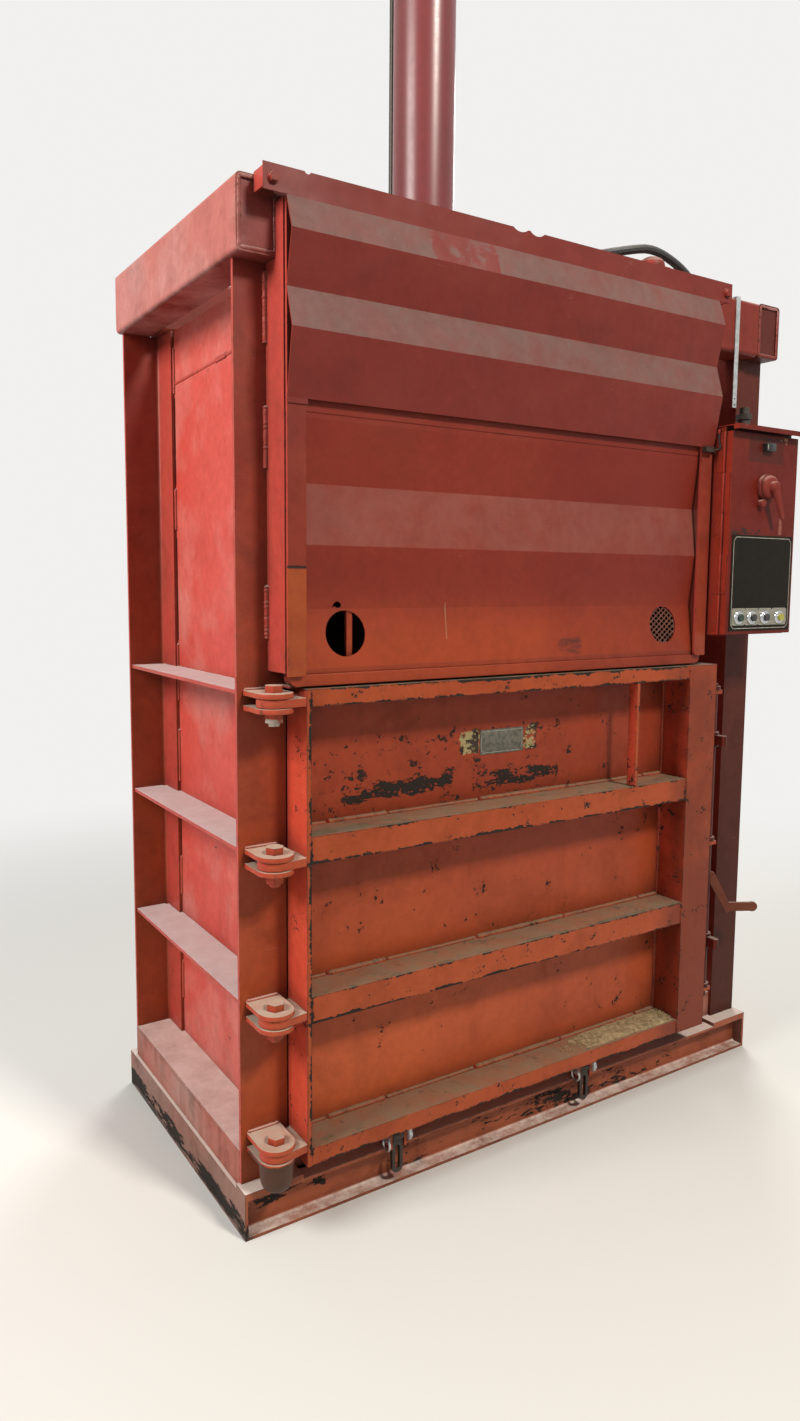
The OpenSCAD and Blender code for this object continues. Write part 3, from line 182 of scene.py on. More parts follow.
def blotMask(tree, where, blot):
    # An uneven patch inside one or more boxes of the part: fine noise, gathered into clumps by a coarse one
    mask = 0.0
    for low, high in blot.get("boxes") or [(blot["low"], blot["high"])]:
        box = zoneMask(tree, where, {**blot, "low": low, "high": high})
        mask = addNode(tree, "Math", {0: box, 1: mask}, operation="MAXIMUM").outputs[0]
    spread = addNode(tree, "Mapping", {"Vector": where, "Scale": blot.get("grain", (60, 60, 60))}).outputs[0]
    fine = addNode(tree, "TexNoise",
                   {"Vector": spread, "Scale": 1.0, "Detail": 6.0, "Roughness": 0.7}).outputs[0]
    clumps = addNode(tree, "TexNoise",
                     {"Vector": spread, "Scale": 0.19, "Detail": 3.0, "Roughness": 0.5}).outputs[0]
    clumps = addNode(tree, "Math", {0: clumps, 1: 0.8, 2: -0.3}, operation="MULTIPLY_ADD").outputs[0]
    level = addNode(tree, "Math", {0: fine, 1: 0.8, 2: clumps}, operation="MULTIPLY_ADD").outputs[0]
    level = addNode(tree, "Math", {0: mask, 1: 0.5, 2: level}, operation="MULTIPLY_ADD").outputs[0]
    return addNode(tree, "MapRange", {0: level, 1: blot["cut"], 2: blot["cut"] + blot.get("blur", 0.02),
                                      4: blot.get("strength", 1.0)}).outputs[0]


# The paint on the machine's plain steel; the finishes below name only what differs from it
# low, high and side are one paint under painted light: lighter low down, and its own tone on faces to the
# sides
enamelLook = {"low": "9C4524", "high": "74271C", "lowZ": 0.3, "highZ": 2.1, "side": "B5443A",
              "faded": "A0503C", "fade": 0.35, "smudge": 0.3, "runs": 0.12, "scratch": "B08070",
              "scratches": 0.35, "grimeAndShadeColour": "3A2722", "grimeAndShade": 0.5, "grimeAndShadeReach": 0.06, "rust": "54301F",
              "chip": "29221E", "chipScale": 60.0, "chipLevel": 0.74, "edge": 0.005, "edgeWear": 0.24,
              "dustColour": "B59C94", "dust": 0.8, "dustThin": 0.45, "dustFrom": 0.3, "dustTo": 0.8,
              "rough": 0.42, "sheen": 0.22, "dents": 0.0, "stains": [], "scrapes": [], "dustZones": [],
              "cleanZones": []}


def paintedSteel(name, changes):
    # Brushed-on enamel over hot-rolled steel: faded in patches, chipped to black scale, dusty on top
    look = {**enamelLook, **changes}
    material, tree, surface = newMaterial(name)
    coords = addNode(tree, "TexCoord")
    where = coords.outputs["Object"]
    spot = addNode(tree, "SeparateXYZ", {0: where})
    facing = addNode(tree, "SeparateXYZ", {0: coords.outputs["Normal"]})

    # tone: more orange and lighter low down as painted floor light, a tone of its own on faces to the sides
    # as painted side light and shade, faded in patches a third of a metre wide
    height = addNode(tree, "MapRange", {0: spot.outputs[2], 1: look["lowZ"], 2: look["highZ"]},
                     interpolation_type="SMOOTHSTEP").outputs[0]
    tone = addNode(tree, "Mix", {0: height, 6: linear(look["low"]), 7: linear(look["high"])},
                   data_type="RGBA").outputs[2]
    sideLight = addNode(tree, "Math", {0: facing.outputs[0]}, operation="ABSOLUTE").outputs[0]
    sideLight = addNode(tree, "MapRange", {0: sideLight, 1: 0.5, 2: 0.9}).outputs[0]
    patches = addNode(tree, "TexNoise",
                      {"Vector": where, "Scale": 3.1, "Detail": 6.0, "Roughness": 0.62}).outputs[0]
    patches = addNode(tree, "MapRange", {0: patches, 1: 0.45, 2: 0.7, 4: look["fade"]}).outputs[0]
    for mask, colour in ((sideLight, look["side"]), (patches, look["faded"])):
        tone = addNode(tree, "Mix", {0: mask, 6: tone, 7: linear(colour)}, data_type="RGBA").outputs[2]

    # handling: centimetre mottle, broad dull smudges and faint runs down the faces
    mottle = addNode(tree, "TexNoise",
                     {"Vector": where, "Scale": 46.0, "Detail": 7.0, "Roughness": 0.7}).outputs[0]
    mottle = addNode(tree, "MapRange", {0: mottle, 1: 0.3, 2: 0.7, 3: 0.88, 4: 1.08}).outputs[0]
    smudge = addNode(tree, "TexNoise", {"Vector": where, "Scale": 6.5, "Detail": 8.0, "Roughness": 0.66,
                                        "Distortion": 0.6}).outputs[0]
    smudge = addNode(tree, "MapRange",
                     {0: smudge, 1: 0.48, 2: 0.75, 3: 1.0, 4: 1.0 - look["smudge"]}).outputs[0]
    stretched = addNode(tree, "Mapping", {"Vector": where, "Scale": (15, 15, 0.9)}).outputs[0]
    runs = addNode(tree, "TexNoise",
                   {"Vector": stretched, "Scale": 1.0, "Detail": 6.0, "Roughness": 0.62}).outputs[0]
    runs = addNode(tree, "MapRange", {0: runs, 1: 0.5, 2: 0.75, 3: 1.0, 4: 1.0 - look["runs"]}).outputs[0]
    shade = addNode(tree, "Math", {0: mottle, 1: runs}, operation="MULTIPLY").outputs[0]
    shade = addNode(tree, "Math", {0: shade, 1: smudge}, operation="MULTIPLY").outputs[0]
    tone = addNode(tree, "Mix", {0: 1.0, 6: tone, 7: shade}, data_type="RGBA",
                   blend_type="MULTIPLY").outputs[2]

    # what lies on the paint, from the lowest layer up: a mask and a colour each
    layers = []
    # scratches: short pale lines where a stretched noise crosses its middle value
    tilted = addNode(tree, "Mapping",
                     {"Vector": where, "Rotation": (0.5, 0.35, 0.2), "Scale": (7, 7, 46)}).outputs[0]
    lines = addNode(tree, "TexNoise",
                    {"Vector": tilted, "Scale": 1.0, "Detail": 2.0, "Roughness": 0.5}).outputs[0]
    lines = addNode(tree, "Math", {0: lines, 1: 0.5}, operation="SUBTRACT").outputs[0]
    lines = addNode(tree, "Math", {0: lines}, operation="ABSOLUTE").outputs[0]
    lines = addNode(tree, "MapRange", {0: lines, 1: 0.0, 2: 0.006, 3: 1.0, 4: 0.0}).outputs[0]
    region = addNode(tree, "TexNoise",
                     {"Vector": where, "Scale": 11.0, "Detail": 4.0, "Roughness": 0.7}).outputs[0]
    region = addNode(tree, "MapRange", {0: region, 1: 0.6, 2: 0.7, 4: look["scratches"]}).outputs[0]
    scratches = addNode(tree, "Math", {0: lines, 1: region}, operation="MULTIPLY").outputs[0]
    layers.append((scratches, look["scratch"]))
    # stains and scrapes stay off the faces that look to the back
    outer = addNode(tree, "MapRange", {0: facing.outputs[1], 1: 0.6, 2: 0.2}).outputs[0]
    for blot in look["stains"]:
        mask = addNode(tree, "Math", {0: blotMask(tree, where, blot), 1: outer},
                       operation="MULTIPLY").outputs[0]
        layers.append((mask, blot["colour"]))

    # grime and painted shade: brown darkening in corners and under flanges, found with ambient occlusion
    corners = addNode(tree, "AmbientOcclusion", {"Distance": look["grimeAndShadeReach"]}, samples=4).outputs["AO"]
    corners = addNode(tree, "MapRange", {0: corners, 1: 0.75, 2: 0.25, 4: look["grimeAndShade"]}).outputs[0]
    corners = addNode(tree, "Math", {0: corners, 1: mottle}, operation="MULTIPLY").outputs[0]
    layers.append((corners, look["grimeAndShadeColour"]))

    # wear: edges found by rounding the normal, then broken up by fine noise; blots may be scraped bare
    rounded = addNode(tree, "Bevel", {"Radius": look["edge"]}, samples=4).outputs[0]
    shape = addNode(tree, "NewGeometry")
    turn = addNode(tree, "VectorMath", {0: rounded, 1: shape.outputs["Normal"]},
                   operation="DOT_PRODUCT").outputs["Value"]
    edges = addNode(tree, "MapRange", {0: turn, 1: 0.99, 2: 0.82}).outputs[0]
    grit = addNode(tree, "TexNoise",
                   {"Vector": where, "Scale": look["chipScale"], "Detail": 8.0, "Roughness": 0.7}).outputs[0]
    broad = addNode(tree, "TexNoise",
                    {"Vector": where, "Scale": 8.0, "Detail": 3.0, "Roughness": 0.6}).outputs[0]
    broad = addNode(tree, "MapRange", {0: broad, 1: 0.36, 2: 0.64, 3: 0.2}).outputs[0]
    edges = addNode(tree, "Math", {0: edges, 1: broad}, operation="MULTIPLY").outputs[0]
    level = addNode(tree, "Math", {0: edges, 1: look["edgeWear"], 2: grit},
                    operation="MULTIPLY_ADD").outputs[0]
    cut = look["chipLevel"]
    rust = addNode(tree, "MapRange", {0: level, 1: cut - 0.03, 2: cut - 0.005, 4: 0.75}).outputs[0]
    chips = addNode(tree, "MapRange", {0: level, 1: cut, 2: cut + 0.015}).outputs[0]
    for blot in look["scrapes"]:
        mask = addNode(tree, "Math", {0: blotMask(tree, where, blot), 1: outer},
                       operation="MULTIPLY").outputs[0]
        chips = addNode(tree, "Math", {0: chips, 1: mask}, operation="MAXIMUM").outputs[0]
    layers += [(rust, look["rust"]), (chips, look["chip"])]

    # dust: on faces that look up, in clouds 7 cm wide with ragged, fine edges
    upward = addNode(tree, "MapRange", {0: facing.outputs[2], 1: look["dustFrom"], 2: look["dustTo"]},
                     interpolation_type="SMOOTHSTEP").outputs[0]
    clouds = addNode(tree, "TexNoise",
                     {"Vector": where, "Scale": 14.0, "Detail": 8.0, "Roughness": 0.72}).outputs[0]
    clouds = addNode(tree, "MapRange", {0: clouds, 1: 0.3, 2: 0.6, 3: look["dustThin"]}).outputs[0]
    dust = addNode(tree, "Math", {0: upward, 1: clouds}, operation="MULTIPLY").outputs[0]
    for zone in look["dustZones"]:
        mask = zoneMask(tree, where, zone)
        mask = addNode(tree, "Math", {0: mask, 1: clouds}, operation="MULTIPLY").outputs[0]
        dust = addNode(tree, "Math", {0: dust, 1: mask}, operation="MAXIMUM").outputs[0]
    for zone in look["cleanZones"]:
        kept = addNode(tree, "Math", {0: 1.0, 1: blotMask(tree, where, zone)},
                       operation="SUBTRACT").outputs[0]
        dust = addNode(tree, "Math", {0: dust, 1: kept}, operation="MULTIPLY").outputs[0]
    dust = addNode(tree, "Math", {0: dust, 1: look["dust"]}, operation="MULTIPLY").outputs[0]
    layers.append((dust, look["dustColour"]))
    for mask, colour in layers:
        tone = addNode(tree, "Mix", {0: mask, 6: tone, 7: linear(colour)}, data_type="RGBA").outputs[2]
    tree.links.new(tone, surface.inputs["Base Color"])

    # gloss: semi-gloss paint, matt where chipped or dusty
    dull = addNode(tree, "Math", {0: chips, 1: dust}, operation="MAXIMUM").outputs[0]
    rough = addNode(tree, "MapRange", {0: dull, 3: look["rough"], 4: 0.86}).outputs[0]
    rough = addNode(tree, "Math", {0: rough, 1: shade}, operation="DIVIDE", use_clamp=True).outputs[0]
    tree.links.new(rough, surface.inputs["Roughness"])
    surface.inputs["IOR"].default_value = 1.5
    surface.inputs["Specular IOR Level"].default_value = look["sheen"]

    # relief: faint brush marks, chips 0.4 mm deep, and shallow dents where the sheet is thin
    height = addNode(tree, "Math", {0: mottle, 1: 0.25}, operation="MULTIPLY").outputs[0]
    height = addNode(tree, "Math", {0: height, 1: chips}, operation="SUBTRACT").outputs[0]
    relief = addNode(tree, "Bump", {"Height": height, "Distance": 0.0006, "Strength": 0.7})
    if look["dents"]:
        waves = addNode(tree, "TexNoise",
                        {"Vector": where, "Scale": 5.0, "Detail": 2.0, "Roughness": 0.5}).outputs[0]
        relief = addNode(tree, "Bump", {"Height": waves, "Distance": look["dents"], "Strength": 1.0,
                                        "Normal": relief.outputs[0]})
    tree.links.new(relief.outputs[0], surface.inputs["Normal"])
    return material


plainLook = {"grain": (60, 60, 60), "dust": 0.4, "dustColour": "B9A9A0", "metallic": 0.0, "sheen": 0.5,
             "relief": 0.0003}


def plainSurface(name, changes):
    # Unpainted or dark finishes: one tone with mottle, dust on top and fine grain
    look = {**plainLook, **changes}
    material, tree, surface = newMaterial(name)
    coords = addNode(tree, "TexCoord")
    where = coords.outputs["Object"]
    facing = addNode(tree, "SeparateXYZ", {0: coords.outputs["Normal"]})
    grain = addNode(tree, "Mapping", {"Vector": where, "Scale": look["grain"]}).outputs[0]
    mottle = addNode(tree, "TexNoise",
                     {"Vector": grain, "Scale": 1.0, "Detail": 6.0, "Roughness": 0.65}).outputs[0]
    spots = addNode(tree, "MapRange", {0: mottle, 1: 0.38, 2: 0.66}).outputs[0]
    tone = addNode(tree, "Mix", {0: spots, 6: linear(look["colour"]), 7: linear(look["second"])},
                   data_type="RGBA").outputs[2]
    upward = addNode(tree, "MapRange", {0: facing.outputs[2], 1: 0.2, 2: 0.9, 4: look["dust"]},
                     interpolation_type="SMOOTHSTEP").outputs[0]
    clouds = addNode(tree, "TexNoise",
                     {"Vector": where, "Scale": 40.0, "Detail": 6.0, "Roughness": 0.7}).outputs[0]
    clouds = addNode(tree, "MapRange", {0: clouds, 1: 0.3, 2: 0.65}).outputs[0]
    dust = addNode(tree, "Math", {0: upward, 1: clouds}, operation="MULTIPLY").outputs[0]
    tone = addNode(tree, "Mix", {0: dust, 6: tone, 7: linear(look["dustColour"])},
                   data_type="RGBA").outputs[2]
    tree.links.new(tone, surface.inputs["Base Color"])
    surface.inputs["Metallic"].default_value = look["metallic"]
    rough = addNode(tree, "MapRange",
                    {0: mottle, 1: 0.3, 2: 0.7, 3: look["rough"] - 0.08, 4: look["rough"] + 0.1}).outputs[0]
    rough = addNode(tree, "Math", {0: dust, 1: 0.4, 2: rough}, operation="MULTIPLY_ADD",
                    use_clamp=True).outputs[0]
    tree.links.new(rough, surface.inputs["Roughness"])
    surface.inputs["Specular IOR Level"].default_value = look["sheen"]
    relief = addNode(tree, "Bump", {"Height": mottle, "Distance": look["relief"], "Strength": 0.6})
    tree.links.new(relief.outputs[0], surface.inputs["Normal"])
    return material


materials = {}
# Alkyd enamel brushed on hot-rolled angle: satin red, more orange and lighter low down as painted floor
# light, with black scale at the worn edges. The left guide has a crack in its paint, a patch of old orange
# under it and a green spot.
materials["framePaint"] = paintedSteel("framePaintRedEnamelBrushed", {
    "stains": [
        {"low": (-0.828, -0.483, 1.5795), "high": (-0.774, -0.477, 1.5825), "soft": 0.003, "cut": 0.82,
         "colour": "2A1512"},
        {"low": (-0.829, -0.483, 1.31), "high": (-0.774, -0.477, 1.575), "soft": 0.004, "cut": 0.75,
         "blur": 0.3, "colour": "9A4A22", "grain": (12, 12, 12), "strength": 0.8},
        {"low": (-0.823, -0.483, 1.7), "high": (-0.816, -0.477, 1.76), "soft": 0.004, "cut": 0.97,
         "colour": "5E7A66", "grain": (50, 50, 50)}],
    "scrapes": [{"low": (-0.93, -0.44, 0.11), "high": (-0.902, -0.4, 1.25), "soft": 0.006, "cut": 1.02,
                 "grain": (60, 60, 34)}]})
# The same enamel on the left wall's sheet: rosier and brighter as painted side light, hazed by fine dust,
# dark in the gaps of its seams
seamGaps = [{"low": (-0.81, 0.2776, low), "high": (-0.77, 0.2802, high), "soft": 0.0016, "cut": 0.75,
             "colour": "1E100D"} for low, high in ((1.82, 2.06), (1.38, 1.67), (0.62, 0.88))]
materials["wallPaint"] = paintedSteel("wallPaintRedEnamelHazed", {
    "side": "C84B40", "faded": "CF8278", "fade": 0.85, "edgeWear": 0.2, "smudge": 0.14,
    "dents": 0.01, "stains": [*seamGaps,
                              {"low": (-0.82, -0.26, 1.4), "high": (-0.77, 0.27, 2.05), "soft": 0.1,
                               "cut": 1.04, "grain": (9, 9, 2.2), "colour": "DB9088", "blur": 0.2,
                               "strength": 0.22}]})
# The same enamel on the walls behind and at the right: even, a little mottled
materials["backPaint"] = paintedSteel("backPaintRedEnamelPlain", {
    "low": "8E3E22", "high": "7C2E20", "side": "A63E34", "faded": "94483A", "fade": 0.3,
    "dents": 0.01})
# Enamel on the base's channels, kicked and scraped: dull brown red, pale dust on the flanges, black
# steel along the foot
materials["basePaint"] = paintedSteel("basePaintEnamelScuffed", {
    "low": "9A5236", "side": "8A6255", "edgeWear": 0.42, "chipLevel": 0.72, "chipScale": 34.0,
    "dustColour": "D8C8BE", "dust": 1.0, "dustThin": 0.8, "smudge": 0.5,
    "cleanZones": [{"low": (-0.9, -0.45, -0.01), "high": (0.95, 0.45, 0.02), "soft": 0.012, "cut": 0.85,
                    "blur": 0.3, "strength": 0.75}],
    "stains": [{"low": (-0.93, -0.44, -0.06), "high": (-0.895, 0.44, 0.012), "soft": 0.03, "cut": 0.93,
                "grain": (30, 8, 40), "colour": "2B2623", "blur": 0.08}],
    "scrapes": [{"low": (-0.93, -0.42, 0.02), "high": (-0.9, 0.42, 0.045), "soft": 0.036, "cut": 0.965,
                 "grain": (40, 15, 60)},
                {"low": (-0.87, -0.45, 0.05), "high": (-0.68, -0.36, 0.09), "soft": 0.02, "cut": 1.0,
                 "grain": (40, 40, 90)},
                {"low": (-0.5, -0.45, 0.02), "high": (0.62, -0.36, 0.08), "soft": 0.03, "cut": 1.06,
                 "grain": (34, 34, 90)}]})
# Enamel on the floor frame and its plate, under pale dust that lets red streaks through
materials["ledgePaint"] = paintedSteel("ledgePaintEnamelUnderDust", {
    "low": "96523A", "side": "A4594A", "faded": "A8837A", "fade": 0.8, "runs": 0.35,
    "smudge": 0.5, "dustColour": "DCC2BA", "dust": 0.95, "dustThin": 0.6, "dustFrom": 0.15, "dustTo": 0.5,
    "edgeWear": 0.36, "chipScale": 80.0})
# Enamel in the right bay: a dark brown red of painted shade, with deeper corner grime and painted shade,
# and hardly any shine
materials["shadedRightPaint"] = paintedSteel("rightBayEnamelPaintedShade", {
    "low": "431A0F", "high": "54241C", "side": "7E3228", "faded": "5E2C22", "grimeAndShade": 0.8,
    "sheen": 0.14})
# Enamel on the door's rails and stiles: vivid orange red, worn to black steel along the rails' edges,
# the stile's corner and the grab bar, speckled all over, with painted shade darkening the right stile
topEdges = [((-0.78, -0.49, z), (0.5, -0.47, z + 0.001)) for z in (1.307, 0.903, 0.521)]
lowEdges = [((-0.76, -0.49, z), (0.5, -0.47, z + 0.001)) for z in (1.268, 0.967, 0.585, 0.172)]
stileEdge = ((-0.764, -0.49, 0.2), (-0.762, -0.47, 1.3))
materials["doorPaint"] = paintedSteel("doorPaintRedEnamelChipped", {
    "low": "A04622", "high": "9A4222", "side": "CC4C36", "edgeWear": 0.52, "edge": 0.006,
    "chipLevel": 0.72, "chipScale": 105.0, "dustColour": "7C6D58", "dust": 0.85, "fade": 0.25,
    # painted shade: the first stain darkens the right stile
    "faded": "AC5634", "stains": [{"low": (0.5, -0.5, 0.2), "high": (0.65, -0.47, 1.25), "soft": 0.16,
                                   "cut": 0.6, "blur": 0.4, "colour": "6A2A18", "strength": 0.85,
                                   "grain": (8, 8, 8)},
                                  {"low": (-0.765, -0.475, 0.966), "high": (0.51, -0.43, 0.970),
                                   "soft": 0.004, "cut": 0.96, "grain": (16, 30, 30), "colour": "3A2C22",
                                   "blur": 0.1}],
    "scrapes": [{"boxes": [*topEdges, stileEdge], "soft": 0.017, "cut": 0.94, "grain": (70, 70, 100)},
                {"boxes": lowEdges, "soft": 0.014, "cut": 1.0, "grain": (75, 75, 100)},
                {"low": (0.28, -0.49, 0.98), "high": (0.3, -0.44, 1.2), "soft": 0.01, "cut": 1.04,
                 "grain": (60, 60, 34)},
                {"low": (-0.78, -0.5, 0.16), "high": (0.64, -0.38, 1.32), "soft": 0.001, "cut": 1.15,
                 "grain": (120, 120, 120)}]})
# Enamel on the door's sheet: orange and lighter low down as painted floor light, darker red to the right as
# painted shade, painted shadow under the rails, scraped to black steel in two long bands, with flakes of old
# primer beside the name plate
materials["panelPaint"] = paintedSteel("panelPaintEnamelScraped", {
    "low": "BA5830", "high": "92391F", "lowZ": 0.2, "highZ": 1.15, "edgeWear": 0.3,
    # painted shadow under the rails: strong, far-reaching corner darkening
    "smudge": 0.3, "runs": 0.1, "dents": 0.008, "faded": "964628", "fade": 0.25, "grimeAndShade": 0.8,
    "grimeAndShadeReach": 0.1, "grimeAndShadeColour": "2A1612",
    "scrapes": [{"boxes": [((-0.62, -0.4, 1.016), (-0.3, -0.37, 1.042)),
                           ((-0.2, -0.4, 1.012), (0.07, -0.37, 1.036))], "soft": 0.036, "cut": 0.955,
                 "grain": (80, 80, 150)},
                {"low": (-0.7, -0.4, 0.97), "high": (0.12, -0.37, 1.16), "soft": 0.04, "cut": 1.12,
                 "grain": (95, 95, 130)},
                {"low": (-0.76, -0.4, 0.2), "high": (0.5, -0.37, 1.27), "soft": 0.001, "cut": 1.195,
                 "grain": (100, 100, 80)}],
    # painted shade: the first stain darkens the sheet's right part
    "stains": [{"low": (-0.1, -0.4, 0.2), "high": (0.6, -0.37, 1.3), "soft": 0.5, "cut": 0.7, "blur": 0.6,
                "colour": "7E2E20", "strength": 0.55, "grain": (5, 5, 5)},
               {"boxes": [((-0.262, -0.4, 1.102), (-0.21, -0.37, 1.153)),
                          ((-0.05, -0.4, 1.1), (-0.012, -0.37, 1.156))], "soft": 0.02, "cut": 0.93,
                "colour": "9A8C62"},
               {"boxes": [((-0.262, -0.4, 1.098), (-0.21, -0.37, 1.16)),
                          ((-0.05, -0.4, 1.095), (-0.005, -0.37, 1.162))], "soft": 0.012, "cut": 1.05,
                "grain": (100, 100, 100), "colour": "352A20"}]})
# Enamel on the hood's folded sheet: dusky crimson, grey dust on the folds that look up
materials["hoodPaint"] = paintedSteel("hoodPaintDuskyRedEnamel", {
    "low": "702620", "high": "6E261F", "side": "8E3026", "faded": "7C382E", "dustFrom": 0.06,
    "dustTo": 0.16, "dust": 0.6, "dustThin": 0.3, "dents": 0.012, "dustColour": "6E625C", "smudge": 0.2,
    "runs": 0.05, "cleanZones": [{"low": (-0.44, -0.56, 2.27), "high": (-0.27, -0.44, 2.36), "soft": 0.04,
                                  "cut": 0.93, "grain": (20, 20, 20), "blur": 0.08}]})
# Enamel on the gate's folded sheet: deep red above, orange below, one fold rosy with dust, a dark
# scuff low down, a short pale scratch and painted shade darkening its right part
materials["gatePaint"] = paintedSteel("gatePaintRedEnamel", {
    "lowZ": 1.4, "highZ": 1.56, "low": "963C20", "high": "7A281A", "side": "7E2E20",
    "faded": "883A28", "dustFrom": 0.85, "dustTo": 1.0, "dust": 0.4, "dustThin": 0.3, "dents": 0.01,
    "dustColour": "8A5A50", "smudge": 0.2, "runs": 0.05, "chipScale": 46.0,
    "dustZones": [{"low": (-0.78, -0.468, 1.632), "high": (0.53, -0.43, 1.766), "soft": 0.002}],
    "stains": [{"low": (0.0, -0.5, 1.37), "high": (0.07, -0.43, 1.395), "soft": 0.04, "cut": 0.88,
                "grain": (30, 30, 80), "colour": "42261E", "blur": 0.22, "strength": 0.85},
               {"low": (-0.373, -0.5, 1.41), "high": (-0.371, -0.43, 1.5), "soft": 0.002, "cut": 1.02,
                "grain": (90, 90, 26), "colour": "9C7454", "strength": 0.6},
               # painted shade: this stain darkens the gate's right part
               {"low": (0.1, -0.5, 1.3), "high": (0.7, -0.43, 1.98), "soft": 0.5, "cut": 0.56, "blur": 0.6,
                "colour": "661C12", "strength": 0.7, "grain": (5, 5, 5)}]})
# Enamel almost hidden by dry dust: matt pale pink
materials["shelfPaint"] = paintedSteel("shelfPaintDustyEnamel",
                                       {"dust": 0.95, "dustThin": 0.8, "dustColour": "D6C6C4"})
# Enamel sprayed on smooth tube: dark rose with the clearest reflections of all the paint
materials["barrelPaint"] = paintedSteel("barrelPaintGlossRed", {
    "low": "6E2E2E", "high": "702F30", "side": "763434", "faded": "7E3C3C", "rough": 0.3,
    "sheen": 0.4, "runs": 0.1, "smudge": 0.15, "edgeWear": 0.1})
# Enamel on the control box's thin sheet: dark red, a darker field round the meter, black grease over
# the plate and a pale rubbed streak where the grip hangs
materials["boxPaint"] = paintedSteel("boxPaintEnamelOverSheet", {
    "low": "5E180E", "high": "60190F", "side": "A83828", "sheen": 0.16, "faded": "742E22",
    "edgeWear": 0.34, "edge": 0.003, "chipScale": 110.0, "chipLevel": 0.75, "dustColour": "8A5C54",
    "stains": [{"low": (0.655, -0.56, 1.908), "high": (0.815, -0.52, 1.98), "soft": 0.003, "cut": 0.82,
                "colour": "48180F", "strength": 0.85},
               {"low": (0.8, -0.56, 1.965), "high": (0.832, -0.52, 1.985), "soft": 0.006, "cut": 0.95,
                "colour": "A8845C", "grain": (40, 40, 40)},
               {"low": (0.585, -0.56, 1.698), "high": (0.72, -0.52, 1.712), "soft": 0.012, "cut": 0.97,
                "colour": "2E1B16", "grain": (30, 30, 60), "blur": 0.06},
               {"low": (0.81, -0.56, 1.70), "high": (0.822, -0.52, 1.76), "soft": 0.005, "cut": 1.04,
                "colour": "9A6258", "grain": (120, 120, 60), "strength": 0.6}]})
# Old enamel gone chalky on handled parts: matt, pale and patchy
materials["chalkPaint"] = paintedSteel("chalkPaintFadedRed", {
    "low": "742A21", "high": "742A21", "side": "7E332A", "faded": "8C5046", "fade": 0.55,
    "rough": 0.7, "dustColour": "B58C84", "edge": 0.002, "edgeWear": 0.12})
# Enamel on the left beam, which faces the light: its side pale pink, partly haze and partly a painted sheen
materials["beamPaint"] = paintedSteel("beamPaintEnamelHazedPaintedSheen", {
    "high": "76302A", "side": "B4645A", "faded": "C4908A", "fade": 0.75, "lowZ": 1.0,
    "highZ": 2.3})
# Enamel rubbed through by hands: brown, with dull metal at the edges
materials["leverPaint"] = paintedSteel("leverPaintHandled", {
    "low": "62301F", "high": "62301F", "side": "6A3826", "faded": "7C4A36", "edge": 0.004,
    "edgeWear": 0.25, "chip": "6A5546", "rust": "4A2C1E"})
# Enamel on the hinges: orange, rubbed at the rims, grey dust on top, old grease on the lowest collar
# and a pale nut under the top ear
materials["earPaint"] = paintedSteel("earPaintEnamelRubbed", {
    "low": "A84A2C", "high": "A23E28", "side": "B4442E", "faded": "B05C44",
    "dustColour": "AA9C8C", "dust": 0.9, "dustThin": 0.6, "edgeWear": 0.34, "chipScale": 110.0,
    "stains": [{"low": (-0.89, -0.51, 0.09), "high": (-0.79, -0.4, 0.2), "soft": 0.012, "cut": 0.66,
                "colour": "352D23", "grain": (46, 46, 30), "blur": 0.16, "strength": 0.9},
               {"low": (-0.862, -0.475, 1.215), "high": (-0.822, -0.43, 1.243), "soft": 0.004, "cut": 0.9,
                "colour": "B9ACA0", "blur": 0.1}]})
# Anodised aluminium, dulled: grey brown with a soft sheen
materials["plateMetal"] = plainSurface("plateAnodisedAluminiumDulled", {
    "colour": "4E4C42", "second": "716D5F", "rough": 0.45, "metallic": 0.5, "grain": (90, 90, 90)})
# Aluminium sheet, brushed lengthways: pale, with fine streaks
materials["stripMetal"] = plainSurface("stripBrushedAluminium", {
    "colour": "9C988A", "second": "7E7A6C", "rough": 0.4, "metallic": 0.6, "grain": (20, 60, 300)})
# Printed ink: flat and pale
materials["borderPaint"] = plainSurface("borderPrintedPale",
                                        {"colour": "A29E90", "second": "7C776A", "rough": 0.5})
# Pine sawdust: matt straw with brown flecks
materials["sawdust"] = plainSurface("sawdustPine",
                                    {"colour": "AA9670", "second": "847252", "rough": 0.9, "dust": 0.0})
# Dark glass: nearly black, with a sharp reflection
materials["meterGlass"] = plainSurface("meterGlassDark",
                                       {"colour": "14110F", "second": "1D1917", "rough": 0.12, "dust": 0.1})
# Oiled steel: brown black with a broken shine
materials["darkSteel"] = plainSurface("darkSteelOiled",
                                      {"colour": "35302C", "second": "4A423B", "rough": 0.5, "metallic": 0.6})
# Pressed steel plate, scuffed: grey with blurred reflections
materials["bareSteel"] = plainSurface("bareSteelPressed",
                                      {"colour": "7A7672", "second": "5E5853", "rough": 0.38,
                                       "metallic": 0.9})
# Zinc plating, weathered: pale grey with soft reflections
materials["zinc"] = plainSurface("zincPlateWeathered",
                                 {"colour": "C6C8C7", "second": "9EA1A0", "rough": 0.34, "metallic": 0.85})
# Hard chrome, ground: bright mirror with a trace of grain
materials["chrome"] = plainSurface("hardChromeGround",
                                   {"colour": "C8CACC", "second": "B4B6B9", "rough": 0.12, "metallic": 1.0,
                                    "relief": 0.00005, "dust": 0.1})
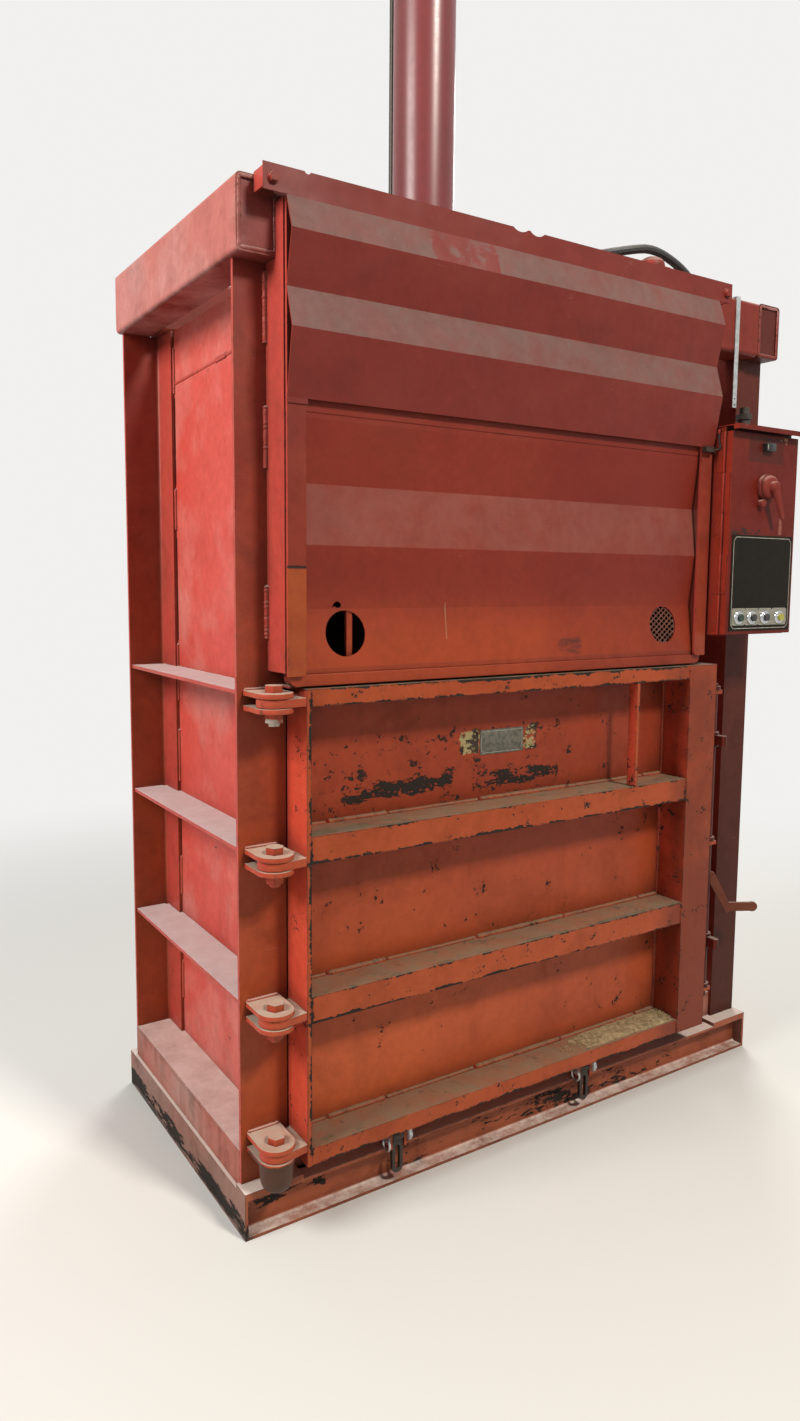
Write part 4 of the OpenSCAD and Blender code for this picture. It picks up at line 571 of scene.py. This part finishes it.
# Cast aluminium: even mid grey with a low shine
materials["castGrey"] = plainSurface("castAluminiumGrey",
                                     {"colour": "77797A", "second": "66686A", "rough": 0.5, "metallic": 0.5})
# Moulded phenolic plastic: warm black, half matt
materials["blackPlastic"] = plainSurface("blackPlasticMoulded",
                                         {"colour": "201F1E", "second": "2B2A28", "rough": 0.4})
# Extruded rubber: matt grey black
materials["rubber"] = plainSurface("hoseRubberBlack", {"colour": "1D1C1B", "second": "2A2826", "rough": 0.55})
# Moulded plastic caps of the push buttons: smooth, half glossy
materials["greenCap"] = plainSurface("buttonCapGreen",
                                     {"colour": "1F3A2C", "second": "16291F", "rough": 0.35})
materials["darkCap"] = plainSurface("buttonCapDark", {"colour": "241F1E", "second": "332B29", "rough": 0.35})
materials["yellowCap"] = plainSurface("buttonCapYellow",
                                      {"colour": "A8A23C", "second": "8B8A3A", "rough": 0.4})
# Aluminium plate printed black: flat, warm black that hardly shines
materials["plateBlack"] = plainSurface("platePrintedAluminiumBlack", {
    "colour": "16130F", "second": "201C17", "rough": 0.6, "sheen": 0.1})
# Enamel worn thin on expanded steel: matt brown red
materials["meshPaint"] = plainSurface("meshPaintWornTan",
                                      {"colour": "76493B", "second": "50322A", "rough": 0.7, "sheen": 0.2})
print(len(materials), "finishes mixed")

finishOf = {
    "framePaint": ["post_front_left", "post_rear_left", "post_rear_right", "jamb_post_rear", "header_front",
                   "header_rear", "cylinder_mount", "gate_guide_left", "gate_guide_right", "hood_fixings",
                   "cylinder_head", "latch_bearings", "reservoir", "line_manifold", "tie_brackets"],
    "beamPaint": ["side_beam_left"],
    "earPaint": ["hinge_ears", "hinge_bolts", "door_hinge_ears"],
    "leverPaint": ["latch_lever"],
    "wallPaint": ["wall_left"],
    "backPaint": ["wall_right", "wall_back"],
    "basePaint": ["base_frame"],
    "ledgePaint": ["step_frame", "floor_plate"],
    "shadedRightPaint": ["post_front_right", "jamb_post_front", "side_beam_right", "latch_shaft"],
    "doorPaint": ["door_frame"],
    "panelPaint": ["door_panel"],
    "hoodPaint": ["hood"],
    "gatePaint": ["gate_frame", "gate_sheet"],
    "shelfPaint": ["shelves"],
    "barrelPaint": ["barrel"],
    "boxPaint": ["control_box", "box_lid", "drip_cover", "lid_fittings", "disconnect_handle"],
    "meshPaint": ["gate_mesh"],
    "darkSteel": ["feed_pipe", "gate_switch", "tie_link_left", "tie_link_right", "conduit_connector"],
    "bareSteel": ["platen"],
    "zinc": ["strap"],
    "chrome": ["ram_rod"],
    "castGrey": ["power_pack"],
    "rubber": ["pressure_hose", "switch_cable"],
    "plateBlack": ["instruction_plate"],
    "greenCap": ["button_1"],
    "darkCap": ["button_2", "button_3"],
    "yellowCap": ["button_4"],
}
for finish, names in finishOf.items():
    for name in names:
        mesh = nodes[name].data
        if mesh.materials:
            nodes[name].material_slots[0].material = materials[finish]
        else:
            mesh.materials.append(materials[finish])
print("finishes given to", sum(len(names) for names in finishOf.values()), "pieces")


def edgesAt(verts):
    return list({edge for vert in verts for edge in vert.link_edges})


def addBlock(shape, low, high, rounding=0.001, material=0):
    # a box between two corners, with rounded edges
    made = bmesh.ops.create_cube(shape, size=1.0)["verts"]
    low, high = Vector(low), Vector(high)
    bmesh.ops.scale(shape, vec=high - low, verts=made)
    bmesh.ops.translate(shape, vec=(low + high) / 2, verts=made)
    for face in {face for vert in made for face in vert.link_faces}:
        face.material_index = material
    if rounding:
        bmesh.ops.bevel(shape, geom=edgesAt(made), offset=rounding, segments=2, profile=0.5, affect="EDGES",
                        material=-1)
    return made


def addTurned(shape, centre, along, profile, steps):
    # a profile of (radius, height) points spun round the axis through centre
    axis, centre = Vector(along).normalized(), Vector(centre)
    side = axis.orthogonal().normalized()
    before = set(shape.faces)
    line = [shape.verts.new(centre + side * radius + axis * height) for radius, height in profile]
    edges = [shape.edges.new(pair) for pair in zip(line, line[1:])]
    bmesh.ops.spin(shape, geom=line + edges, cent=centre, axis=axis, angle=math.tau, steps=steps,
                   use_merge=True)
    turned = [face for face in shape.faces if face not in before]
    bmesh.ops.remove_doubles(shape, verts=list({vert for face in turned for vert in face.verts}),
                             dist=0.000002)


ripple = {"step": 0.0045, "end": 0.3, "low": 0.86, "spread": 0.07}


def addBead(shape, start, end, sideA, sideB, size, flat=False):
    # a weld bead: a rounded section pushed along a joint, rippled every 9 mm as the arc was moved on
    start, end, sideA, sideB = (Vector(v) for v in (start, end, sideA, sideB))
    bead = bmesh.new()
    turns = [i * math.pi / (4 if flat else 8) for i in range(5)]
    ring = [] if flat else [bead.verts.new(start)]
    ring += [bead.verts.new(start + (sideA * math.cos(t) + sideB * math.sin(t) * (0.5 if flat else 1)) * size)
             for t in turns]
    edges = [bead.edges.new(pair) for pair in zip(ring, ring[1:] + ring[:1])]
    bmesh.ops.scale(bead, vec=(ripple["end"],) * 3, space=Matrix.Translation(-start), verts=ring)
    bmesh.ops.contextual_create(bead, geom=edges)
    steps = max(3, round((end - start).length / ripple["step"]))
    width, root = ripple["end"], start.copy()
    for step in range(1, steps + 1):
        made = bmesh.ops.extrude_edge_only(bead, edges=edges)["geom"]
        ring = [item for item in made if isinstance(item, bmesh.types.BMVert)]
        edges = [item for item in made if isinstance(item, bmesh.types.BMEdge)
                 and all(vert in ring for vert in item.verts)]
        root += (end - start) / steps
        wanted = ripple["end"]
        if step < steps:
            wanted = (1.0 if step % 2 else ripple["low"]) + chance.uniform(-ripple["spread"],
                                                                           ripple["spread"])
        bmesh.ops.translate(bead, vec=(end - start) / steps, verts=ring)
        bmesh.ops.scale(bead, vec=(wanted / width,) * 3, space=Matrix.Translation(-root), verts=ring)
        width = wanted
    bmesh.ops.contextual_create(bead, geom=edges)
    mesh = bpy.data.meshes.new("bead")
    bead.to_mesh(mesh)
    bead.free()
    shape.from_mesh(mesh)
    bpy.data.meshes.remove(mesh)


def newPiece(name, shape, finishes, body, sharp=35):
    # closes a bmesh into an object of its own that rides on a body
    bmesh.ops.recalc_face_normals(shape, faces=shape.faces)
    mesh = bpy.data.meshes.new(name)
    shape.to_mesh(mesh)
    shape.free()
    mesh.shade_smooth()
    mesh.set_sharp_from_angle(angle=math.radians(sharp))
    for finish in finishes:
        mesh.materials.append(materials[finish])
    piece = addObject(name, mesh)
    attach(piece, body)
    return piece


# Weld beads: the door's corners and laps, the stitches on posts and wall, the beams' end caps
# Sizes are the beads' leg lengths, and pairs are the heights that a bead runs between
weldLook = {"corner": 0.006, "lap": (0.006, 0.009, 0.007, 0.01, 0.008, 0.009), "under": 0.005,
            "railEnd": 0.0035, "bar": 0.005, "stitch": 0.009, "wall": 0.006,
            "ear": 0.0055, "cap": 0.0045, "postStitches": ((2.07, 2.23), (1.797, 1.94), (1.415, 1.541)),
            "wallStitches": ((2.07, 2.2), (1.69, 1.81), (1.2, 1.37), (0.96, 1.12), (0.62, 0.74), (0.3, 0.42)),
            "post": (-0.823, -0.384), "wallX": -0.79, "wallEdges": (-0.273, 0.28), "wallDrop": 0.03,
            "seams": (((-0.27, 2.117), (0.278, 2.1), 0.005), ((-0.09, 2.1115), (-0.02, 2.11), 0.009)),
            "earTops": (1.303, 0.935, 0.567, 0.243), "earHeight": 0.046, "earReach": (-0.884, -0.8),
            "caps": {"inner": 0.815, "outer": 0.915, "low": 2.253, "high": 2.397, "front": -0.434,
                     "in": 0.008}}
doorLines = {"left": -0.763, "right": 0.507, "panel": -0.384, "railFront": -0.482,
             "rails": ((0.172, 0.214), (0.521, 0.586), (0.903, 0.968), (1.268, 1.308)),
             "lapBreaks": (-0.761, -0.67, -0.495, -0.205, 0.112, 0.42, 0.505), "bar": (0.284, -0.455),
             "barWidth": 0.012, "endIn": 0.002}


def weldDoor(look, lines):
    shape = bmesh.new()
    panel, rails = lines["panel"], lines["rails"]
    for (_, high), (nextLow, _) in zip(rails, rails[1:]):
        for x, inward in ((lines["left"], 1), (lines["right"], -1)):
            addBead(shape, (x, panel, high), (x, panel, nextLow), (inward, 0, 0), (0, -1, 0), look["corner"])
        addBead(shape, (lines["left"], panel, nextLow), (lines["right"], panel, nextLow), (0, -1, 0),
                (0, 0, -1), look["under"])
        for start, end, size in zip(lines["lapBreaks"], lines["lapBreaks"][1:], look["lap"]):
            addBead(shape, (start, panel, high), (end, panel, high), (0, -1, 0), (0, 0, 1), size)
    for low, high in rails:
        for x, inward in ((lines["left"], 1), (lines["right"], -1)):
            addBead(shape, (x, lines["railFront"], low + lines["endIn"]),
                    (x, lines["railFront"], high - lines["endIn"]), (inward, 0, 0), (0, -1, 0),
                    look["railEnd"])
    barX, barY = lines["bar"]
    for z, up in ((rails[2][1], 1), (rails[3][0], -1)):
        addBead(shape, (barX, barY, z), (barX + lines["barWidth"], barY, z), (0, 1, 0), (0, 0, up),
                look["bar"])
    newPiece("door_welds", shape, ["doorPaint"], "door")


def weldFrame(look):
    shape = bmesh.new()
    (postX, postY), wallX, (wallFront, wallBack) = look["post"], look["wallX"], look["wallEdges"]
    for low, high in look["postStitches"]:
        addBead(shape, (postX, postY, low), (postX, postY, high), (-1, 0, 0), (0, -1, 0), look["stitch"])
    for low, high in look["wallStitches"]:
        addBead(shape, (wallX, wallBack, low), (wallX, wallBack, high), (0, -1, 0), (-1, 0, 0), look["wall"])
        addBead(shape, (wallX, wallFront, low - look["wallDrop"]),
                (wallX, wallFront, high - look["wallDrop"]), (0, 1, 0), (-1, 0, 0), look["wall"])
    for start, end, size in look["seams"]:
        addBead(shape, (wallX, *start), (wallX, *end), (0, 0, 1), (-1, 0, 0), size, flat=True)
    left, right = look["earReach"]
    for top in look["earTops"]:
        for z, up in ((top, 1), (top - look["earHeight"], -1)):
            addBead(shape, (left, postY, z), (right, postY, z), (0, -1, 0), (0, 0, up), look["ear"])
    newPiece("frame_welds", shape, ["framePaint"], "frame")
    shape = bmesh.new()
    caps = look["caps"]
    for side in (-1, 1):
        inner, outer = side * caps["inner"] + side * caps["in"], side * caps["outer"] - side * caps["in"]
        corners = [(inner, caps["low"]), (outer, caps["low"]), (outer, caps["high"]), (inner, caps["high"])]
        for (x0, z0), (x1, z1) in zip(corners, corners[1:] + corners[:1]):
            along = Vector((x1 - x0, 0, z1 - z0)).normalized()
            addBead(shape, (x0, caps["front"], z0), (x1, caps["front"], z1), (-along.z, 0, along.x),
                    (0, -1, 0), look["cap"], flat=True)
    newPiece("beam_welds", shape, ["beamPaint"], "frame")


weldDoor(weldLook, doorLines)
weldFrame(weldLook)
print("weld beads laid")

# Bare plate on the door, held by four rivets
doorPlate = {"low": (-0.202, -0.3855, 1.09), "high": (-0.052, -0.384, 1.157), "rivetIn": 0.008,
             "rivet": 0.0035, "lineIn": 0.004, "line": 0.0015}


def plateDoor(look):
    shape = bmesh.new()
    low, high = look["low"], look["high"]
    addBlock(shape, low, high, 0.0006)
    inset, line = look["lineIn"], look["line"]
    x0, z0, x1, z1 = low[0] + inset, low[2] + inset, high[0] - inset, high[2] - inset
    for left, bottom, right, top in ((x0, z0, x1, z0 + line), (x0, z1 - line, x1, z1),
                                     (x0, z0, x0 + line, z1), (x1 - line, z0, x1, z1)):
        addBlock(shape, (left, low[1] - 0.0004, bottom), (right, low[1] + 0.0002, top), 0.0, material=1)
    for x in (low[0] + look["rivetIn"], high[0] - look["rivetIn"]):
        for z in (low[2] + look["rivetIn"], high[2] - look["rivetIn"]):
            r = look["rivet"]
            head = [(0, 0), (r, 0), (r * 0.9, r * 0.35), (r * 0.5, r * 0.6), (0, r * 0.7)]
            addTurned(shape, (x, low[1], z), (0, -1, 0), head, 12)
    newPiece("door_plate", shape, ["plateMetal", "borderPaint"], "door")


plateDoor(doorPlate)

# Control box: border of the black plate, strip behind the buttons, meter window, screws
boxTrim = {"face": -0.544, "plate": ((0.594, 1.411), (0.877, 1.694)), "inset": 0.006, "line": 0.0022,
           "strip": (1.427, 1.478), "cells": (0.604, 0.665, 0.726, 0.791, 0.862),
           "buttons": (0.635, 0.695, 0.757, 0.825), "buttonZ": 1.45, "hole": 0.0153,
           "bezel": ((0.0153, 0), (0.0212, 0), (0.0212, 0.0014), (0.0198, 0.0042), (0.0168, 0.0062),
                     (0.0153, 0.0062), (0.0153, 0)), "leafHeights": (1.955, 1.705, 1.425),
           "cut": 0.012, "cutReach": 0.0085, "cutOut": 0.0006, "stripThick": 0.0006,
           "window": ((0.7195, -0.5564, 1.9435), (0.7585, -0.5555, 1.9625)),
           "scale": ((0.7215, -0.5568, 1.946), (0.7245, -0.5562, 1.96)),
           "leaf": ((0.5775, -0.513, -0.016), (0.5803, -0.487, 0.016)), "screwY": -0.497,
           "screwHeights": (-0.009, 0.009),
           "screw": ((0, 0), (0.0036, 0), (0.0034, 0.0012), (0.002, 0.0022), (0, 0.0024))}


def trimBox(look):
    shape = bmesh.new()
    (x0, z0), (x1, z1) = look["plate"]
    x0, z0, x1, z1 = x0 + look["inset"], z0 + look["inset"], x1 - look["inset"], z1 - look["inset"]
    y0, y1, line, cut = look["face"] - 0.0004, look["face"] + 0.0003, look["line"], look["cut"]
    for low, high in (((x0 + cut, z0), (x1 - cut, z0 + line)), ((x0 + cut, z1 - line), (x1 - cut, z1)),
                      ((x0, z0 + cut), (x0 + line, z1 - cut)), ((x1 - line, z0 + cut), (x1, z1 - cut))):
        addBlock(shape, (low[0], y0, low[1]), (high[0], y1, high[1]), 0.0)
    for x, z, right, up in ((x0, z0, 1, 1), (x1, z0, -1, 1), (x0, z1, 1, -1), (x1, z1, -1, -1)):
        made = addBlock(shape, (-look["cutReach"], y0, -line / 2), (look["cutReach"], y1, line / 2), 0.0)
        turn = Matrix.Rotation(math.radians(45 if right * up > 0 else -45), 3, "Y")
        bmesh.ops.rotate(shape, verts=made, cent=(0, 0, 0), matrix=turn)
        away = cut / 2 + look["cutOut"]
        bmesh.ops.translate(shape, verts=made, vec=(x + right * away, 0, z + up * away))
    newPiece("plate_border", shape, ["borderPaint"], "lid")

    # the strip: a cell round each button, its hole's rim pushed out to the cell's edges
    shape = bmesh.new()
    low, high = look["strip"]
    for x, left, right in zip(look["buttons"], look["cells"], look["cells"][1:]):
        place = Matrix.Translation((x, look["face"], look["buttonZ"])) @ Matrix.Rotation(math.pi / 2, 4, "X")
        ring = bmesh.ops.create_circle(shape, segments=32, radius=look["hole"], matrix=place)
        made = bmesh.ops.extrude_edge_only(shape, edges=edgesAt(ring["verts"]))["geom"]
        for vert in (item for item in made if isinstance(item, bmesh.types.BMVert)):
            dx, dz = vert.co.x - x, vert.co.z - look["buttonZ"]
            reach = min((right - x if dx > 0 else x - left) / max(abs(dx), 1e-6),
                        (high - look["buttonZ"] if dz > 0 else look["buttonZ"] - low) / max(abs(dz), 1e-6))
            vert.co = (x + dx * reach, look["face"], look["buttonZ"] + dz * reach)
    bmesh.ops.recalc_face_normals(shape, faces=shape.faces)
    if sum(face.normal.y for face in shape.faces) > 0:
        bmesh.ops.reverse_faces(shape, faces=shape.faces)
    bmesh.ops.solidify(shape, geom=shape.faces, thickness=-look["stripThick"])
    newPiece("button_strip", shape, ["stripMetal"], "lid")

    # bright bezels over the strip, a step below the buttons' rings
    shape = bmesh.new()
    for x in look["buttons"]:
        addTurned(shape, (x, look["face"] - look["stripThick"], look["buttonZ"]), (0, -1, 0),
                  look["bezel"], 32)
    newPiece("button_bezels", shape, ["chrome"], "lid")

    # the meter's window with its pale scale
    shape = bmesh.new()
    addBlock(shape, *look["window"], 0.0004)
    addBlock(shape, *look["scale"], 0.0, material=1)
    newPiece("meter_window", shape, ["meterGlass", "borderPaint"], "lid")

    # hinge leaves with two screws each, on the side of the box
    shape = bmesh.new()
    (x0, y0, under), (x1, y1, over) = look["leaf"]
    for z in look["leafHeights"]:
        addBlock(shape, (x0, y0, z + under), (x1, y1, z + over), 0.0008)
        for dz in look["screwHeights"]:
            addTurned(shape, (x0, look["screwY"], z + dz), (-1, 0, 0), look["screw"], 12)
    newPiece("hinge_leaves", shape, ["boxPaint"], "frame")


trimBox(boxTrim)

# Disconnect: a turned hub with a tapered grip that hangs down to the right
gripLook = {"hub": (0.737, -0.5523, 1.836), "radius": 0.034, "fall": 66, "length": 0.102, "root": 0.025,
            "tip": 0.014, "thick": 0.015, "capOut": 0.0172, "gripOut": 0.0235, "rounding": 0.0045,
            "cap": ((0, -0.001), (0.0165, -0.001), (0.0165, 0.009), (0.0145, 0.0125), (0.008, 0.0142),
                    (0, 0.0145))}


def makeDisconnect(look):
    shape = bmesh.new()
    hubX, hubY, hubZ = look["hub"]
    r = look["radius"]
    addTurned(shape, look["hub"], (0, -1, 0),
              [(0, -0.0088), (0.0078, -0.0088), (0.0078, 0), (r - 0.001, 0), (r, 0.001), (r, 0.009),
               (r - 0.0012, 0.0115), (r - 0.005, 0.0135), (r - 0.007, 0.0152), (0.016, 0.0172), (0, 0.0175)],
              48)
    addTurned(shape, (hubX, hubY - look["capOut"], hubZ), (0, -1, 0), look["cap"], 32)
    made = bmesh.ops.create_cube(shape, size=1.0)["verts"]
    bmesh.ops.scale(shape, vec=(look["length"], look["thick"], 1.0), verts=made)
    bmesh.ops.translate(shape, vec=(look["length"] / 2, 0, 0), verts=made)
    for vert in made:
        far = vert.co.x > look["length"] / 2
        vert.co.z = math.copysign(look["tip"] / 2 if far else look["root"] / 2, vert.co.z)
        vert.co.y = vert.co.y * (0.75 if far else 1.0) + (0.001 if far else 0)
    grip = bmesh.ops.bevel(shape, geom=edgesAt(made), offset=look["rounding"], segments=3, profile=0.5,
                           affect="EDGES", material=-1)
    verts = list({vert for face in grip["faces"] for vert in face.verts})
    turn = Matrix.Rotation(math.radians(look["fall"]), 3, "Y")
    bmesh.ops.rotate(shape, verts=verts, cent=(0, 0, 0), matrix=turn)
    bmesh.ops.translate(shape, verts=verts, vec=(hubX, hubY - look["gripOut"], hubZ))
    piece = newPiece("disconnect_grip", shape, ["chalkPaint"], "disconnect", sharp=50)
    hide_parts("disconnect_handle")


makeDisconnect(gripLook)


copyLook = {"merge": 0.00001, "flat": 0.02, "turn": 0.7, "rounding": 0.0008}


def dressCopy(name, source, body, finishes, choose, look):
    # a merged copy of a CAD node with rounded edges, so that its parts can have finishes of their own
    shape = bmesh.new()
    shape.from_mesh(nodes[source].data)
    bmesh.ops.remove_doubles(shape, verts=shape.verts, dist=look["merge"])
    bmesh.ops.dissolve_limit(shape, angle_limit=look["flat"], verts=shape.verts, edges=shape.edges)
    for face in shape.faces:
        face.material_index = choose(face.calc_center_median())
    edges = [edge for edge in shape.edges if edge.is_manifold and edge.calc_face_angle(0) > look["turn"]]
    bmesh.ops.bevel(shape, geom=edges, offset=look["rounding"], segments=2, profile=0.5, affect="EDGES",
                    material=-1, clamp_overlap=True)
    piece = newPiece(name, shape, finishes, body)
    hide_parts(source)


# Chromed rings round the buttons, black meter, chalky base and padlock boss
def fittingFinish(at):
    if at.z < 1.5:
        return 0 if at.y < -0.5415 else 1
    return 1 if at.z > 1.93 or at.y > -0.5415 else 2


dressCopy("lid_hardware", "lid_fittings", "lid", ["chrome", "blackPlastic", "chalkPaint"], fittingFinish,
          copyLook)

# Bright nuts and rings at the ends of the tie pins
tieLook = {"pins": (-0.49, 0.165), "y": -0.432, "z": 0.132, "pinEnd": 0.0265, "knob": 0.019, "ring": 0.015,
           "wire": 0.0034, "ringAt": (-0.0325, -0.003, 0.004),
           "nut": ((0, 0), (0.0125, 0), (0.0125, 0.006), (0.006, 0.0085), (0, 0.009))}


def dressTies(look):
    shape = bmesh.new()
    for x in look["pins"]:
        r = look["knob"]
        addTurned(shape, (x + look["pinEnd"], look["y"], look["z"]), (1, 0, 0),
                  [(0.0, 0), (r * 0.7, 0), (r, 0.003), (r * 0.96, 0.012), (r * 0.6, 0.0175), (0, 0.0185)], 8)
        addTurned(shape, (x - look["pinEnd"], look["y"], look["z"]), (-1, 0, 0), look["nut"], 6)
        # the ring: a small circle spun round an axis across the pin's end
        dx, dy, dz = look["ringAt"]
        centre = Vector((x + dx, look["y"] + dy, look["z"] - look["ring"] + dz))
        top = Matrix.Translation(centre + Vector((0, 0, look["ring"]))) @ Matrix.Rotation(math.pi / 2, 4, "X")
        wire = bmesh.ops.create_circle(shape, segments=10, radius=look["wire"], matrix=top)
        bmesh.ops.spin(shape, geom=wire["verts"] + edgesAt(wire["verts"]), cent=centre, axis=(1, 0, 0),
                       angle=math.tau, steps=24, use_merge=True)
    newPiece("tie_nuts", shape, ["zinc"], "frame", sharp=30)


dressTies(tieLook)
print("plate, box trim, disconnect and tie nuts made")

# Sawdust on the door's lowest rail, thickest at the right, and a little on the base's ledge
dustLook = {
    "sawdust_door": {"body": "door", "low": (0.04, -0.478), "high": (0.504, -0.388), "z": 0.2142,
                     "count": 1300, "mound": 0.007},
    "sawdust_ledge": {"body": "frame", "low": (-0.9, -0.3), "high": (-0.83, 0.3), "z": 0.1052, "count": 140,
                      "mound": 0.0}}


def scatterSawdust(name, look):
    shape = bmesh.new()
    (x0, y0), (x1, y1) = look["low"], look["high"]
    if look["mound"]:
        made = bmesh.ops.create_grid(shape, x_segments=44, y_segments=14, size=0.5)["verts"]
        bmesh.ops.scale(shape, vec=(x1 - x0, y1 - y0, 1), verts=made)
        bmesh.ops.translate(shape, vec=((x0 + x1) / 2, (y0 + y1) / 2, look["z"] - 0.0012), verts=made)
        for vert in made:
            u, v = (vert.co.x - x0) / (x1 - x0), (vert.co.y - y0) / (y1 - y0)
            edge = min(1.0, 5 * v, 4 * (1 - v) + 0.35, 12 * (1 - u), 2.2 * u)
            lump = noise.fractal(Vector((vert.co.x * 26, vert.co.y * 26, 3.1)), 0.7, 2.2, 4)
            vert.co.z += look["mound"] * max(0.0, edge * (0.25 + 0.75 * u) * (0.75 + 0.45 * lump))
        bmesh.ops.solidify(shape, geom=shape.faces, thickness=0.0008)
    for i in range(look["count"]):
        u = max(chance.random(), chance.random()) if look["mound"] else chance.random()
        v = (chance.random() + chance.random()) / 2
        lift = chance.uniform(0, look["mound"] * 0.8 * u) + 0.0008
        place = Matrix.Translation((x0 + u * (x1 - x0), y0 + v * (y1 - y0), look["z"] + lift))
        turn = Euler((chance.uniform(-0.3, 0.3), chance.uniform(-0.3, 0.3), chance.uniform(0, 3.1)))
        sides = Matrix.Diagonal((chance.uniform(0.003, 0.008), chance.uniform(0.0015, 0.003), 0.0006, 1))
        bmesh.ops.create_cube(shape, size=1.0, matrix=place @ turn.to_matrix().to_4x4() @ sides)
    newPiece(name, shape, ["sawdust"], look["body"], sharp=80)


for name, look in dustLook.items():
    scatterSawdust(name, look)
print("sawdust scattered")

# Live bevels on the solids whose edges catch the light: width in metres, then the pieces
edgePlan = {0.0016: ["door_frame", "base_frame", "gate_frame", "hinge_ears", "door_hinge_ears", "hinge_bolts",
                     "step_frame"],
            0.001: ["post_front_left", "post_rear_left", "post_front_right", "jamb_post_front",
                    "gate_guide_left", "gate_guide_right", "latch_lever", "control_box", "box_lid", "shelves",
                    "tie_brackets", "hood_fixings", "latch_bearings"]}
edgeLook = {"merge": 0.00002, "segments": 2, "angle": 40}


def roundEdges(plan, look):
    for width, names in plan.items():
        for name in names:
            weld = nodes[name].modifiers.new("weld", "WELD")
            weld.merge_threshold = look["merge"]
            bevel = nodes[name].modifiers.new("roundEdges", "BEVEL")
            bevel.width = width
            bevel.segments = look["segments"]
            bevel.limit_method = "ANGLE"
            bevel.angle_limit = math.radians(look["angle"])
            bevel.harden_normals = False


roundEdges(edgePlan, edgeLook)
print("edges rounded")
